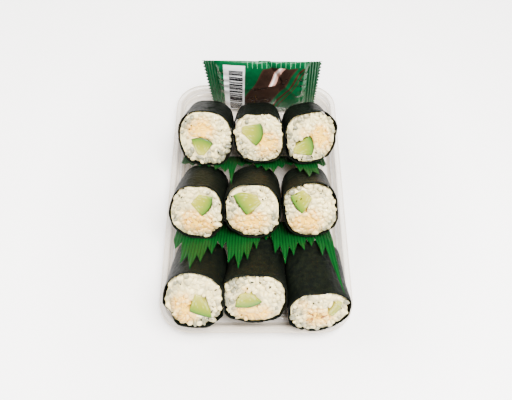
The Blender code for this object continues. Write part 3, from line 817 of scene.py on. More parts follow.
class SUSHI_OT_add_rice(bpy.types.Operator):
    """Adds the rice of each roll: a core with true-size grains packed over both cut ends"""

    bl_idname = "sushi.add_rice"
    bl_label = "Rice"

    def execute(self, context):
        look = context.scene.sushi_rice
        material = rice_material(look)
        grains = grain_templates(look)
        bm = bmesh.new()
        bmesh.ops.create_icosphere(bm, subdivisions=1, radius=1)
        crumb = mesh_from(bm, "crumb")
        for roll in ROLLS:
            self.fill(roll, look, grains, crumb, material)
        for mesh in [*grains, crumb]:
            bpy.data.meshes.remove(mesh)
        return {"FINISHED"}

    def fill(self, roll, look, grains, crumb, material):
        """Adds one roll's rice: the solid as a core, sunk under grains at both cut ends."""
        draw = random.Random("grains " + roll.name)
        wedge, strand = stick_outline(roll.cucumber), strand_outline(roll.tuna)
        place = roll_matrix(roll)
        bm = solid_copy("rice_" + roll.name)
        bmesh.ops.transform(bm, matrix=place.inverted(), verts=bm.verts[:])
        tone, stain = (bm.verts.layers.float.new(name) for name in ("tone", "stain"))
        end = roll.length * MM
        for vert in bm.verts:
            out = vert.co.xy.length
            if out > CORE_SKIN * min(roll.half_width, roll.half_height) * MM:
                angle = math.atan2(vert.co.y, vert.co.x) % math.tau
                vert.co.xy *= 1 + (min(0.0, swell(roll, angle, vert.co.z)) - CORE_UNDER) / out
            sink_ends(vert, end, CORE_NEAR, *CORE_SINK)
            vert[tone] = CORE_TONE
            vert[stain] = soak_at(roll, strand, vert.co.xy)
        for is_face in (True, False):
            angles = [math.tau * step / TURNS for step in range(TURNS)]
            z = end if is_face else 0
            radii = [section_radius(roll, angle) * taper(roll, z) + swell(roll, angle, z)
                     for angle in angles]
            for sunk in GRAIN_LAYERS:
                for matrix in self.packed(roll, look, draw, radii, wedge, strand, is_face, sunk):
                    added = append_mesh(bm, draw.choice(grains), matrix)
                    # Grains near the rim are greyer, most at the lower left: partly the leaf showing through
                    # them and partly painted shade
                    middle = matrix.translation
                    out = middle.xy.length - SHADE_LOW_LEFT * (middle.x + middle.y)
                    painted_rim_shade = smoothstep(SHADE_GREY_FROM, SHADE_GREY_TO, out)
                    grain_tone = 0.5 * draw.random() ** 1.4 + painted_rim_shade * (0.25 + 0.9 * draw.random())
                    for vert in added:
                        # The knife flattens what stands out past the cut
                        cut = end + RICE_PROUD + GRAIN_PROUD + 0.5 * end_height(vert.co.xy)
                        vert.co.z = min(vert.co.z, cut + CUT_LEAVES * (vert.co.z - cut))
                        vert[tone] = grain_tone
                        vert[stain] = soak_at(roll, strand, vert.co.xy)
        self.sprinkle(bm, roll, look, draw, crumb)
        bmesh.ops.transform(bm, matrix=place, verts=bm.verts[:])
        for vert in bm.verts:
            press(roll, vert, RICE_UNDER_LEAF)
        name = "rice_" + roll.name
        leaf = bpy.data.materials["nori_roasted_damp"]
        finish_piece(bm, "grains_" + roll.name, [material, leaf], [name], 50)

    def sprinkle(self, bm, roll, look, draw, crumb):
        """Crumbs of the leaf that the knife has dragged over the cut faces, mostly near the rim."""
        for number in range(2 * look.crumbs):
            is_face = number % 2 == 0
            angle = draw.uniform(0, math.tau)
            out = (roll.half_height - 1.5 - 5.5 * draw.random() ** 1.6) * MM
            height = roll.length * MM + RICE_PROUD + 0.45 * MM if is_face else 0.1 * MM
            turn = Matrix.Rotation(draw.uniform(0, math.tau), 4, "Z")
            turn @= Matrix.Rotation(draw.uniform(-0.5, 0.5), 4, "X")
            size = Matrix.Diagonal((draw.uniform(*CRUMB_LONG), draw.uniform(*CRUMB_WIDE), CRUMB_HIGH)) * MM
            spot = Matrix.Translation((out * math.cos(angle), out * math.sin(angle), height))
            before = len(bm.faces)
            append_mesh(bm, crumb, spot @ turn @ size.to_4x4())
            bm.faces.ensure_lookup_table()
            for face in bm.faces[before:]:
                face.material_index = 1

    def packed(self, roll, look, draw, radii, wedge, strand, is_face, sunk):
        """Places for a layer of grains, each tried as three balls along its length."""
        reach = (look.grain_length - look.grain_width) / 2
        ball = look.grain_width / 2
        limit = max(roll.half_width, roll.half_height) * MM
        taken = []
        for _ in range(look.tries):
            middle = Vector((draw.uniform(-limit, limit), draw.uniform(-limit, limit), 0))
            heading = draw.uniform(0, math.tau)
            tilt = math.radians(draw.choice([draw.uniform(*between) for between in GRAIN_TILTS]))
            along = Vector((math.cos(heading) * math.cos(tilt), math.sin(heading) * math.cos(tilt),
                            math.sin(tilt)))
            if is_face:
                height = roll.length * MM + RICE_PROUD - FACE_SEAT + 0.5 * end_height(middle.xy) - sunk
            else:
                height = REAR_SEAT + sunk
            middle.z = height + draw.uniform(-0.35, 0.35) * MM
            balls = [middle + along * offset for offset in (-reach, 0, reach)]
            apart = GRAIN_SPACING * look.grain_width
            if any((one - other).length < apart for one in balls for other in taken):
                continue
            if not all(self.has_room(one, ball, radii, wedge, strand, sunk) for one in balls):
                continue
            taken += balls
            spin = Matrix.Rotation(draw.uniform(0, math.tau), 4, "X")
            turn = along.to_track_quat("X", "Z").to_matrix().to_4x4()
            long, wide = draw.uniform(0.75, 1.1), draw.uniform(0.72, 1.1)
            size = Matrix.Diagonal((long, wide, wide, 1))
            yield Matrix.Translation(middle) @ turn @ spin @ size

    def has_room(self, spot, ball, radii, wedge, strand, sunk):
        """Whether a ball of rice at this point clears the leaf and the fillings."""
        point = spot.xy
        angle = math.atan2(point.y, point.x) % math.tau
        radius = radii[int(angle / math.tau * TURNS) % TURNS]
        rim = RIM_TOP if sunk == GRAIN_LAYERS[-1] else RIM_SUNK
        if point.length > radius - ball - rim:
            return False
        if outline_distance(point, wedge) < 0.85 * ball:
            return False
        return outline_distance(point, strand) > -STRAND_HOLD


# Tuna ------------------------------------------------------------------------------------

FLAKE_LUMPS = 0.28  # share of its size by which a flake is uneven
FLAKE_FLAT = 0.75  # height of a flake by its width
HEAP_REACH = 1.25  # of the strand's larger half size, within which flakes are tried
HEAP_SPREAD = 0.3 * MM  # past the strand's outline
HEAP_CLEAR = 1.0 * MM  # from the cucumber to the middle of a flake
HEAP_SEAT = (0.7 * MM, 0.8 * MM)  # from the cut to the flakes' middles, at the face and the rear
HEAP_SINK = (1.3 * MM, 0.9 * MM)  # that the core's ends lie under the cuts
HEAP_TONE = 0.2
HEAP_ROUGH = (-0.7, 0.6)  # millimetres that a flake's middle is off its seat
FLAKE_SIZES = (0.6, 1.15)
# How pink the fish shows in each roll, 0 to 1
FISHY = {
    "back_left": 0.45, "back_middle": 0.35, "back_right": 0.35, "centre_left": 0.8, "centre_middle": 0.35,
    "centre_right": 0.6, "front_left": 0.5, "front_middle": 0.35, "front_right": 1.0,
}


class TunaProperties(bpy.types.PropertyGroup):
    """Sizes and colours of the tuna mayonnaise."""

    flake_length: length("Flake length", "Length of a flake of fish", 3.2)
    flake_width: length("Flake width", "Width of a flake of fish", 1.4)
    mayonnaise: tint("Mayonnaise", "Colour of the dressing", "#ECB83C")
    fish: tint("Fish", "Colour of the flaked fish", "#6E3B16")
    flakes: IntProperty(name="Flakes", description="Flakes at each end of a strand", default=90)


def tuna_material(look):
    """Flaked tinned tuna in mayonnaise: matt pinkish fibres under a glossy cream dressing."""
    material, tree = new_material(
        "tuna_flaked_in_mayonnaise", Roughness=0.34, IOR=1.45, Subsurface_Weight=0.25,
        Subsurface_Radius=(1.0, 0.85, 0.6), Subsurface_Scale=1.2 * MM,
    )
    place = add_node(tree, "ShaderNodeTexCoord").outputs["Object"]
    tone = add_node(tree, "ShaderNodeAttribute", attribute_name="tone")
    # Bundles of muscle fibre, a little wider than a flake is
    cloud = add_node(tree, "ShaderNodeTexNoise", {"Vector": place, "Scale": pitch(1.92), "Detail": 4.0})
    blend = add_node(tree, "ShaderNodeMath", {0: cloud.outputs[0], 1: tone.outputs["Fac"], 2: -0.45},
                     operation="MULTIPLY_ADD")
    both = add_node(tree, "ShaderNodeMath", {0: blend.outputs[0], 1: tone.outputs["Fac"]}, operation="ADD",
                    use_clamp=True)
    mixed = add_node(tree, "ShaderNodeMix", {0: both.outputs[0], 6: look.mayonnaise, 7: look.fish},
                     data_type="RGBA")
    bump = add_node(tree, "ShaderNodeBump", {"Height": cloud.outputs[0], "Strength": 0.5,
                                             "Distance": 0.6 * MM})
    feed(tree, Base_Color=mixed.outputs[2], Normal=bump.outputs[0])
    return material


class SUSHI_OT_add_tuna(bpy.types.Operator):
    """Adds the strands of tuna: a core with flakes and dressing heaped over both cut ends"""

    bl_idname = "sushi.add_tuna"
    bl_label = "Tuna"

    def execute(self, context):
        look = context.scene.sushi_tuna
        material = tuna_material(look)
        bm = bmesh.new()
        bmesh.ops.create_icosphere(bm, subdivisions=2, radius=1)
        for vert in bm.verts:
            vert.co *= 1 + FLAKE_LUMPS * fractal(vert.co, 1.1, 3.0, 2)
            vert.co = Vector((vert.co.x * look.flake_length, vert.co.y * look.flake_width,
                              vert.co.z * look.flake_width * FLAKE_FLAT)) / 2
        flake = mesh_from(bm, "flake")
        for roll in ROLLS:
            self.heap(roll, look, flake, material)
        bpy.data.meshes.remove(flake)
        return {"FINISHED"}

    def heap(self, roll, look, flake, material):
        """Adds one roll's tuna: the solid as a core, sunk under flakes at both cut ends."""
        draw = random.Random("flakes " + roll.name)
        wedge, strand = stick_outline(roll.cucumber), strand_outline(roll.tuna)
        place = roll_matrix(roll)
        bm = solid_copy("tuna_" + roll.name)
        bmesh.ops.transform(bm, matrix=place.inverted(), verts=bm.verts[:])
        tone = bm.verts.layers.float.new("tone")
        end = roll.length * MM
        for vert in bm.verts:
            sink_ends(vert, end, CORE_NEAR, *HEAP_SINK)
            vert[tone] = HEAP_TONE
        piece = roll.tuna
        reach = max(piece.half_across, piece.half_up) * HEAP_REACH * MM
        centre = Vector((piece.across, piece.up)) * MM
        for number in range(2 * look.flakes):
            is_face = number % 2 == 0
            spot = centre + Vector((draw.uniform(-reach, reach), draw.uniform(-reach, reach)))
            if outline_distance(spot, strand) > HEAP_SPREAD or outline_distance(spot, wedge) < HEAP_CLEAR:
                continue
            if is_face:
                height = end + RICE_PROUD - HEAP_SEAT[0] + 0.5 * end_height(spot)
            else:
                height = HEAP_SEAT[1]
            height += draw.uniform(*HEAP_ROUGH) * MM
            turn = Matrix.Rotation(draw.uniform(0, math.tau), 4, "Z")
            turn @= Matrix.Rotation(draw.uniform(-0.5, 0.5), 4, "Y")
            turn @= Matrix.Rotation(draw.uniform(0, math.tau), 4, "X")
            size = draw.uniform(*FLAKE_SIZES)
            matrix = Matrix.Translation((*spot, height)) @ turn @ Matrix.Scale(size, 4)
            fishy = FISHY[roll.name] * draw.random() ** 0.6
            for vert in append_mesh(bm, flake, matrix):
                vert[tone] = fishy
        bmesh.ops.transform(bm, matrix=place, verts=bm.verts[:])
        finish_piece(bm, "flakes_" + roll.name, [material], ["tuna_" + roll.name], 60)


# Cucumber --------------------------------------------------------------------------------

STICK_COLUMNS, STICK_ROWS = 16, 18  # of the mesh, from seeds to skin and across
STICK_EDGE = 0.35 * MM  # of the bevel round both cut ends
STICK_END = 0.1 * MM  # from a cut end, within which a point is on it
SEED_BED, SEED_BED_WIDTH = 0.42, 0.2  # where the soft bed sinks, from the inner edge to the skin
SEED_BED_SINK = 0.22 * MM
CUT_UNEVEN, CUT_LUMPS = 0.15 * MM, 2.5 * MM  # depth of the cut's unevenness, and from lump to lump
CHART_STEPS = 48  # of the table that finds a point's share and across


class CucumberProperties(bpy.types.PropertyGroup):
    """Colours of the cucumber."""

    core: tint("Core", "Colour of the seed bed", "#98922B")
    flesh: tint("Flesh", "Colour of the flesh", "#7F8417")
    rim: tint("Rim", "Colour of the flesh just under the skin", "#47691A")
    skin: tint("Skin", "Colour of the skin", "#10250A")


def cucumber_materials(look):
    """Fresh cucumber: wet pale flesh that darkens to the skin, and a waxy dark skin."""
    flesh, tree = new_material(
        "cucumber_cut_flesh", Roughness=0.3, IOR=1.36, Subsurface_Weight=0.3,
        Subsurface_Radius=(0.8, 1.0, 0.4), Subsurface_Scale=1.2 * MM, Coat_Weight=0.08, Coat_Roughness=0.1,
    )
    chart = add_node(tree, "ShaderNodeUVMap", uv_map="section").outputs[0]
    parts = add_node(tree, "ShaderNodeSeparateXYZ", {0: chart})
    ramp = add_node(
        tree, "ShaderNodeValToRGB", {0: parts.outputs[0]},
        stops=((0.1, look.core), (1.0, look.skin), (0.55, look.flesh), (0.78, colour("#66781D")),
               (0.92, look.rim)),
    )
    # Seeds: five rows from the inner edge to the skin, nine across
    spread = add_node(tree, "ShaderNodeMapping", {0: chart, 3: (5.0, 9.0, 1.0)})
    seeds = add_node(tree, "ShaderNodeTexVoronoi", {"Vector": spread.outputs[0], "Scale": 1.0},
                     feature="SMOOTH_F1")
    seed = add_node(tree, "ShaderNodeMapRange", {"Value": seeds.outputs[0], "From Min": 0.1,
                                                 "From Max": 0.42, "To Min": 0.2, "To Max": 0.0})
    bed = add_node(tree, "ShaderNodeMapRange", {"Value": parts.outputs[0], "From Min": 0.7,
                                                "From Max": 0.5})
    shown = add_node(tree, "ShaderNodeMath", {0: seed.outputs[0], 1: bed.outputs[0]},
                     operation="MULTIPLY")
    mixed = add_node(tree, "ShaderNodeMix", {0: shown.outputs[0], 6: ramp.outputs[0], 7: colour("#EEF0C8")},
                     data_type="RGBA")
    place = add_node(tree, "ShaderNodeTexCoord").outputs["Object"]
    # The cells of a wet cut are finer than this, and are drawn as coarse as shows
    grain = add_node(tree, "ShaderNodeTexNoise", {"Vector": place, "Scale": pitch(1.43), "Detail": 3.0})
    bump = add_node(tree, "ShaderNodeBump", {"Height": grain.outputs[0], "Strength": 0.18,
                                             "Distance": 0.4 * MM})
    feed(tree, Base_Color=mixed.outputs[2], Normal=bump.outputs[0])

    skin, tree = new_material("cucumber_skin_waxy", Roughness=0.35, IOR=1.45)
    place = add_node(tree, "ShaderNodeTexCoord").outputs["Object"]
    # Light and dark streaks of the skin
    streak = add_node(tree, "ShaderNodeTexNoise", {"Vector": place, "Scale": pitch(3.33), "Detail": 3.0})
    mixed = add_node(tree, "ShaderNodeMix", {0: streak.outputs[0], 6: look.skin, 7: look.rim},
                     data_type="RGBA")
    feed(tree, Base_Color=mixed.outputs[2])
    return [flesh, skin]


class SUSHI_OT_add_cucumber(bpy.types.Operator):
    """Adds the sticks of cucumber with a soft edge, a seed bed and skin"""

    bl_idname = "sushi.add_cucumber"
    bl_label = "Cucumber"

    def execute(self, context):
        materials = cucumber_materials(context.scene.sushi_cucumber)
        for roll in ROLLS:
            self.stick(roll, materials)
        return {"FINISHED"}

    def stick(self, roll, materials):
        """Adds one stick: its section drawn out along the roll, with soft edges and uneven cuts."""
        piece = roll.cucumber
        long = roll.length * MM + CUCUMBER_PROUD
        bm = bmesh.new()
        chart = bm.loops.layers.uv.new("section")
        bmesh.ops.create_grid(bm, x_segments=STICK_COLUMNS, y_segments=STICK_ROWS, size=0.5)
        for vert in bm.verts:
            vert.co = (*stick_point(piece, vert.co.x + 0.5, 2 * vert.co.y), 0)
        made = bmesh.ops.extrude_face_region(bm, geom=bm.faces[:])
        bmesh.ops.translate(bm, verts=new_verts(made), vec=(0, 0, long))
        outwards(bm)
        rim = [edge for edge in bm.edges
               if len(edge.link_faces) == 2 and edge.calc_face_angle() > 1.2
               and abs(edge.link_faces[0].normal.z - edge.link_faces[1].normal.z) > 0.6]
        bmesh.ops.bevel(bm, geom=rim, offset=STICK_EDGE, segments=2, affect="EDGES", profile=0.5,
                        material=-1)
        steps = range(CHART_STEPS + 1)
        table = [(row / CHART_STEPS, 2 * column / CHART_STEPS - 1) for row in steps for column in steps]
        tree = kdtree.KDTree(len(table))
        for number, (share, across) in enumerate(table):
            tree.insert((*stick_point(piece, share, across), 0), number)
        tree.balance()
        places = {}
        for vert in bm.verts:
            share, across = table[tree.find((vert.co.x, vert.co.y, 0))[1]]
            places[vert] = (share, 0.5 + 0.5 * across)
            wet = SEED_BED_SINK * math.exp(-(((share - SEED_BED) / SEED_BED_WIDTH) ** 2))
            wet += CUT_UNEVEN * fractal(vert.co, CUT_LUMPS, roll.rear_x, 2)
            sink_ends(vert, long, STICK_END, wet, wet)
        for face in bm.faces:
            shares = [places[vert][0] for vert in face.verts]
            is_skin = min(shares) > 0.985 and abs(face.normal.z) < 0.5 and piece.shown == 1
            face.material_index = int(is_skin)
            for loop in face.loops:
                share, across = places[loop.vert]
                loop[chart].uv = (share * piece.shown, across)
        bmesh.ops.transform(bm, matrix=roll_matrix(roll), verts=bm.verts[:])
        name = "cucumber_" + roll.name
        finish_piece(bm, "stick_" + roll.name, materials, [name], 50)


# Plastic grass ---------------------------------------------------------------------------


class Grass(NamedTuple):
    """A divider: where its straight lower edge starts, its slope, and how its tips droop."""

    name: str
    base_y: float  # millimetres
    base_z: float
    slope: float  # degrees, of the part that the rolls pinch
    straight: float  # millimetres from the base before it starts to droop
    droop_left: float  # degrees that the tips have turned down, at each side
    droop_right: float
    pinch: float  # millimetres from the base to the line that the rolls pinch
    cut: float  # millimetres that a notch is deeper than the shorter blade beside it
    trail: float  # millimetres that the last blade leans to the right
    tips: tuple[float, ...]  # millimetres from the pinched line to each tip, from the left


GRASSES = (
    Grass("grass_back", 29.6, 12.3, 40.8, 33, 0, 0, 16, 8, 0,
          (5, 9, 11.5, 12, 19, 24, 43.5, 12, 8, 15, 22, 26, 16, 8, 24, 36, 30, 12)),
    Grass("grass_front", -18.9, 11.4, 39, 28, 0.5, 14.5, 16, 9, 5,
          (25, 41, 49, 41, 30, 23, 37, 43.5, 35, 24, 13, 27, 35.5, 28, 24, 20, 28.5, 54)),
)
GRASS_PITCH = 5.0 * MM
GRASS_BLADES = 18
GRASS_CENTRE_X = -1.6 * MM
GRASS_LEAST = 2.5  # millimetres of whole film past the line that the rolls pinch
GRASS_DIP = 2.5 * MM  # that the film sinks between two columns of rolls, at the reach below
GRASS_DIP_REACH = 20 * MM  # past its straight part
DROOP_REACH = 8 * MM  # past its straight part, to where it has its full droop
DROOP_STEPS = 8
COLUMN_PITCH = 31.5 * MM  # from roll to roll in a row
BLADE_COLUMNS, BLADE_ROWS = 10, 44  # of the mesh, in each blade
BLADE_SWAY, BLADE_LIFT = 0.9, 0.6  # millimetres, most that a tip is off to a side and up
RIB_PITCH = 5 / 3  # millimetres from rib to rib


class GrassProperties(bpy.types.PropertyGroup):
    """Sizes and colours of the plastic grass."""

    film: length("Film", "Thickness of the film", 0.14)
    rib: length("Ribs", "Height of the embossed ribs", 0.12)
    green: tint("Green", "Colour of the film", "#083E14")
    # Deep green is also the painted shade in the grooves between the ribs
    deep: tint("Deep green", "Colour between its ribs", "#021406")


def grass_point(grass, x, reach):
    """Where a point of the flat divider lies, x across and reach metres up from its lower edge."""
    side = max(0, (x - GRASS_CENTRE_X) / (GRASS_BLADES * GRASS_PITCH) + 0.5)
    droop = math.radians(grass.droop_left + (grass.droop_right - grass.droop_left) * side**1.5)
    slope = math.radians(grass.slope)
    straight = min(reach, grass.straight * MM)
    y = grass.base_y * MM - straight * math.cos(slope)
    z = grass.base_z * MM + straight * math.sin(slope)
    free = reach - straight
    for step in range(DROOP_STEPS):
        stretch = free / DROOP_STEPS
        angle = slope - droop * min(1, (step + 0.5) * stretch / DROOP_REACH)
        y -= stretch * math.cos(angle)
        z += stretch * math.sin(angle)
    valley = 0.5 - 0.5 * math.cos(math.tau * x / COLUMN_PITCH)
    z -= GRASS_DIP * valley * (free / GRASS_DIP_REACH) ** 1.5
    return Vector((x, y, z))


def blade_reaches(grass):
    """How far the film reaches from its lower edge at each notch and tip in turn, in metres."""
    tips = [grass.pinch + tip for tip in grass.tips]
    notches = [min(pair) - grass.cut for pair in zip(tips, tips[1:])]
    ends = [grass.pinch + grass.tips[side] / 2 for side in (0, -1)]
    reaches = []
    for notch, tip in zip([ends[0], *notches], tips):
        reaches += [max(grass.pinch + GRASS_LEAST, notch) * MM, tip * MM]
    return [*reaches, ends[1] * MM]


def grass_material(look):
    """Embossed PVC film: saturated green, satin, with fine ribs that catch the light and painted shade in
    the grooves between them.
    """
    material, tree = new_material("green_pvc_film_embossed", Roughness=0.4, IOR=1.35,
                                  Specular_IOR_Level=0.05)
    chart = add_node(tree, "ShaderNodeUVMap", uv_map="blade").outputs[0]
    stretched = add_node(tree, "ShaderNodeMapping", {0: chart, 3: (0.6, 0.05, 1.0)})
    streak = add_node(tree, "ShaderNodeTexNoise", {"Vector": stretched.outputs[0], "Scale": 1.0,
                                                   "Detail": 3.0})
    # The wave repeats every pi / 10 / scale, and the chart is in millimetres
    ribs = add_node(tree, "ShaderNodeTexWave", {"Vector": chart, "Scale": math.pi / 10 / RIB_PITCH},
                    bands_direction="X")
    # Painted shade: the grooves between the ribs are darkened towards deep green
    groove_shade = add_node(tree, "ShaderNodeMapRange", {"Value": ribs.outputs["Fac"], "From Min": 0.35,
                                                   "From Max": 0.0, "To Max": 0.55})
    shade = add_node(tree, "ShaderNodeMath", {0: streak.outputs[0], 1: 0.5, 2: groove_shade.outputs[0]},
                     operation="MULTIPLY_ADD", use_clamp=True)
    mixed = add_node(tree, "ShaderNodeMix", {0: shade.outputs[0], 6: look.green, 7: look.deep},
                     data_type="RGBA")
    bump = add_node(tree, "ShaderNodeBump", {"Height": ribs.outputs["Fac"], "Strength": 0.5,
                                             "Distance": 0.3 * MM})
    feed(tree, Base_Color=mixed.outputs[2], Normal=bump.outputs[0])
    return material


class SUSHI_OT_add_grass(bpy.types.Operator):
    """Adds the two strips of plastic grass with their cut blades and embossed ribs"""

    bl_idname = "sushi.add_grass"
    bl_label = "Plastic grass"

    def execute(self, context):
        look = context.scene.sushi_grass
        material = grass_material(look)
        for grass in GRASSES:
            self.strip(grass, look, material)
        return {"FINISHED"}

    def strip(self, grass, look, material):
        """Adds one strip: a sheet whose columns end at the notches and tips of its blades."""
        draw = random.Random(grass.name)
        columns = GRASS_BLADES * BLADE_COLUMNS
        reaches = blade_reaches(grass)
        sway = [draw.uniform(-BLADE_SWAY, BLADE_SWAY) * MM for _ in range(GRASS_BLADES)]
        lift = [draw.uniform(0.0, BLADE_LIFT) * MM for _ in range(GRASS_BLADES)]
        bm = bmesh.new()
        chart = bm.loops.layers.uv.new("blade")
        bmesh.ops.create_grid(bm, x_segments=columns, y_segments=BLADE_ROWS, size=0.5)
        flat = {}
        for vert in bm.verts:
            column = round((vert.co.x + 0.5) * columns)
            up = vert.co.y + 0.5
            blade = min(GRASS_BLADES - 1, column // BLADE_COLUMNS)
            inside = column / BLADE_COLUMNS - blade  # 0 to 1 across the blade
            tip = reaches[2 * blade + 1]
            foot = reaches[2 * blade + (2 if inside > 0.5 else 0)]
            point = 1 - abs(2 * inside - 1)
            reach = (foot + (tip - foot) * point) * up
            past = max(0.0, (reach - foot) / (tip - foot))
            x = GRASS_CENTRE_X + GRASS_PITCH * (column / BLADE_COLUMNS - GRASS_BLADES / 2)
            flat[vert] = (x / MM, reach / MM)
            if blade == GRASS_BLADES - 1:
                bent = max(0, reach / MM - grass.pinch) / grass.tips[-1]
                x += grass.trail * MM * bent**2 * point**0.3
            else:
                x += sway[blade] * past**1.5
            vert.co = grass_point(grass, x, reach)
            ridge = 0.5 + 0.5 * math.cos(math.tau * inside * GRASS_PITCH / MM / RIB_PITCH)
            vert.co.z += look.rib * ridge + lift[blade] * past**2
        chart_loops(bm, chart, flat)
        item = finish_piece(bm, "film_" + grass.name, [material], [grass.name])
        thicken(item, look.film)


# Sachet ----------------------------------------------------------------------------------

SACHET_WIDTH = 73 * MM
SACHET_HEIGHT = 59 * MM
SACHET_THICKNESS = 9.5 * MM
SACHET_SEAL = 8 * MM  # width of each crimped end
SACHET_TOOTH = 3.6 * MM  # from tooth to tooth of its zigzag cut
SACHET_CENTRE_X = 3.8 * MM
SACHET_SHIFT = 1.8 * MM  # that its foot stands to the right of its top
SACHET_BASE_Y = 78 * MM
SACHET_BASE_Z = 1.7 * MM
SACHET_LEAN = math.radians(10)
SACHET_FLARE = 0.03  # share by which its top is wider than its middle
SACHET_WAVE = 0.8 * MM  # of its top edge
SACHET_CURL = 2.0 * MM  # that the lower corners curl back
SEAL_STARTS = 1 - 2 * SACHET_SEAL / SACHET_WIDTH  # share of the half width
CRIMP_PITCH = 1.7 * MM  # from ridge to ridge of a seal
SLACK, SLACK_SIZE = 0.3 * MM, 9 * MM  # depth of the film's slackness, and from lump to lump
SLACK_DRAWN = 0.6  # below 1, its lumps are taller than they are wide
GATHER, GATHER_PITCH = 0.45 * MM, 1.5 * MM  # ripples where the film runs into a seal
GATHER_SWAY, GATHER_WAVE = 2.2, 6 * MM  # how unevenly they are spaced, and over what length
SEAM_ACROSS, SEAM_HALF = 0.04, 0.09  # of the back's lapped seam, in shares of the half width
SACHET_DENT = 2.6 * MM  # depth of the front's dent, whose place and size are shares of the halves
DENT_ACROSS, DENT_UP = 0.25, 0.45
DENT_WIDE, DENT_TALL = 0.16, 0.4
BAND_LEAN, BAND_BEND = -0.34, 0.13  # of the printed bands, in shares of the halves
DASHES, DASH_BARE = 12.6, 0.91  # dashes to the half width, and share of each that has no ink
PANEL_LEAN = -0.055
BARS, BAR_LEVEL = 15.0, 0.465  # how closely the bars follow each other, and noise past which is ink
POUCH_COLUMNS, POUCH_ROWS = 220, 168  # of the mesh
TALL = 0.8  # half height by half width, so that a crease is as wide all along
# Creases of the front: from and to (share of half width, share of half height), depth in mm, width
CREASES = (
    ((0.10, 0.98), (0.33, 0.28), -0.9, 0.035), ((0.48, 0.98), (0.36, 0.30), 0.8, 0.03),
    ((0.33, 0.28), (0.22, -0.55), -1.1, 0.05), ((0.25, 0.95), (0.36, 0.30), 0.7, 0.03),
    ((0.33, 0.28), (0.62, -0.2), 0.7, 0.05), ((0.33, 0.28), (-0.3, 0.1), 0.5, 0.06),
    ((0.72, 0.9), (0.68, -0.2), 1.2, 0.05), ((0.63, 0.7), (0.70, -0.6), -0.5, 0.03),
    ((-0.72, 0.8), (-0.66, -0.6), 0.4, 0.03), ((-0.1, 0.95), (-0.4, 0.5), 0.35, 0.05),
)


class SachetProperties(bpy.types.PropertyGroup):
    """Sizes and colours of the printed sachet."""

    film: length("Film", "Thickness of the sealed ends", 0.35)
    crimp: length("Crimp", "Height of the seal's ridges", 0.6)
    tooth: length("Tooth", "Depth of the zigzag cut of the ends", 1.4)
    green: tint("Green", "Colour of the ground", "#054424")
    brown: tint("Brown", "Colour of the broad band", "#291C16")
    red: tint("Red", "Colour of the narrow bands", "#3D1A15")
    label: tint("Label", "Colour of the pale panel", "#DDDCDA")


def pouch_thickness(across, up):
    """Share of its full thickness that the pouch has at shares of its half width and height."""
    inside = max(0, 1 - (abs(across) / SEAL_STARTS) ** 3)
    swell = max(0, 1 - abs(up) ** 3)
    return (inside * swell) ** 0.6


def pouch_point(across, up, is_front, look):
    """A point of the pouch, standing on its lower long edge and leaning towards the rolls."""
    share = (up + 1) / 2
    in_seal = smoothstep(SEAL_STARTS - 0.02, SEAL_STARTS + 0.03, abs(across))
    half = SACHET_WIDTH / 2 * (1 + SACHET_FLARE * up)
    tooth = abs(((share * SACHET_HEIGHT / SACHET_TOOTH) % 1) - 0.5) * 2
    x = (half - look.tooth * tooth * smoothstep(0.95, 1.0, abs(across))) * across
    height = SACHET_HEIGHT * share - SACHET_WAVE * share * math.sin(2.3 * across + 0.6)
    back = SACHET_CURL * across**4 * (1 - share)
    swell = pouch_thickness(across, up)
    half_thickness = (look.film + (SACHET_THICKNESS - look.film) * swell) / 2
    crimp = look.crimp * in_seal * math.cos(math.tau * across * half / CRIMP_PITCH) / 2
    spot = Vector((across * half, height, 0))
    spot.y *= SLACK_DRAWN
    slack = SLACK * min(1, 3 * swell) * fractal(spot, SLACK_SIZE, 11.0 if is_front else 31.0, 3)
    gather = (1 - smoothstep(0.03, 0.28, SEAL_STARTS - abs(across))) * (1 - in_seal) * min(1, 4 * swell)
    slack += GATHER * gather * math.sin(
        height / GATHER_PITCH + GATHER_SWAY * math.sin(height / GATHER_WAVE)
    )
    back += crimp
    if is_front:
        off_centre = ((across - DENT_ACROSS) / DENT_WIDE) ** 2 + ((up - DENT_UP) / DENT_TALL) ** 2
        back -= half_thickness - SACHET_DENT * math.exp(-off_centre) - slack
        for start, end, deep, wide in CREASES:
            place, start, end = (Vector((x, y * TALL)) for x, y in ((across, up), start, end))
            gap = line_distance(place, start, end)
            back -= deep * MM * min(1, 4 * swell) * math.exp(-abs(gap / wide) ** 1.3)
    else:
        lap = 1 - smoothstep(0.0, 0.02, abs(across - SEAM_ACROSS) - SEAM_HALF)
        back += half_thickness + slack + look.crimp * lap
    return Vector(
        (
            SACHET_CENTRE_X + SACHET_SHIFT * (1 - share) + x,
            SACHET_BASE_Y + back * math.cos(SACHET_LEAN) - height * math.sin(SACHET_LEAN),
            SACHET_BASE_Z + height * math.cos(SACHET_LEAN) - back * math.sin(SACHET_LEAN),
        )
    )


def box_field(tree, places, low, high, soft=0.006):
    """A rectangle in two coordinates, as a factor."""
    product = 1.0
    for place, start, end in zip(places, low, high):
        for rim, way in ((start, 1), (end, -1)):
            side = add_node(tree, "ShaderNodeMapRange", {"Value": place, "From Min": rim - way * soft,
                                                         "From Max": rim + way * soft})
            product = add_node(tree, "ShaderNodeMath", {0: product, 1: side.outputs[0]},
                               operation="MULTIPLY").outputs[0]
    return product


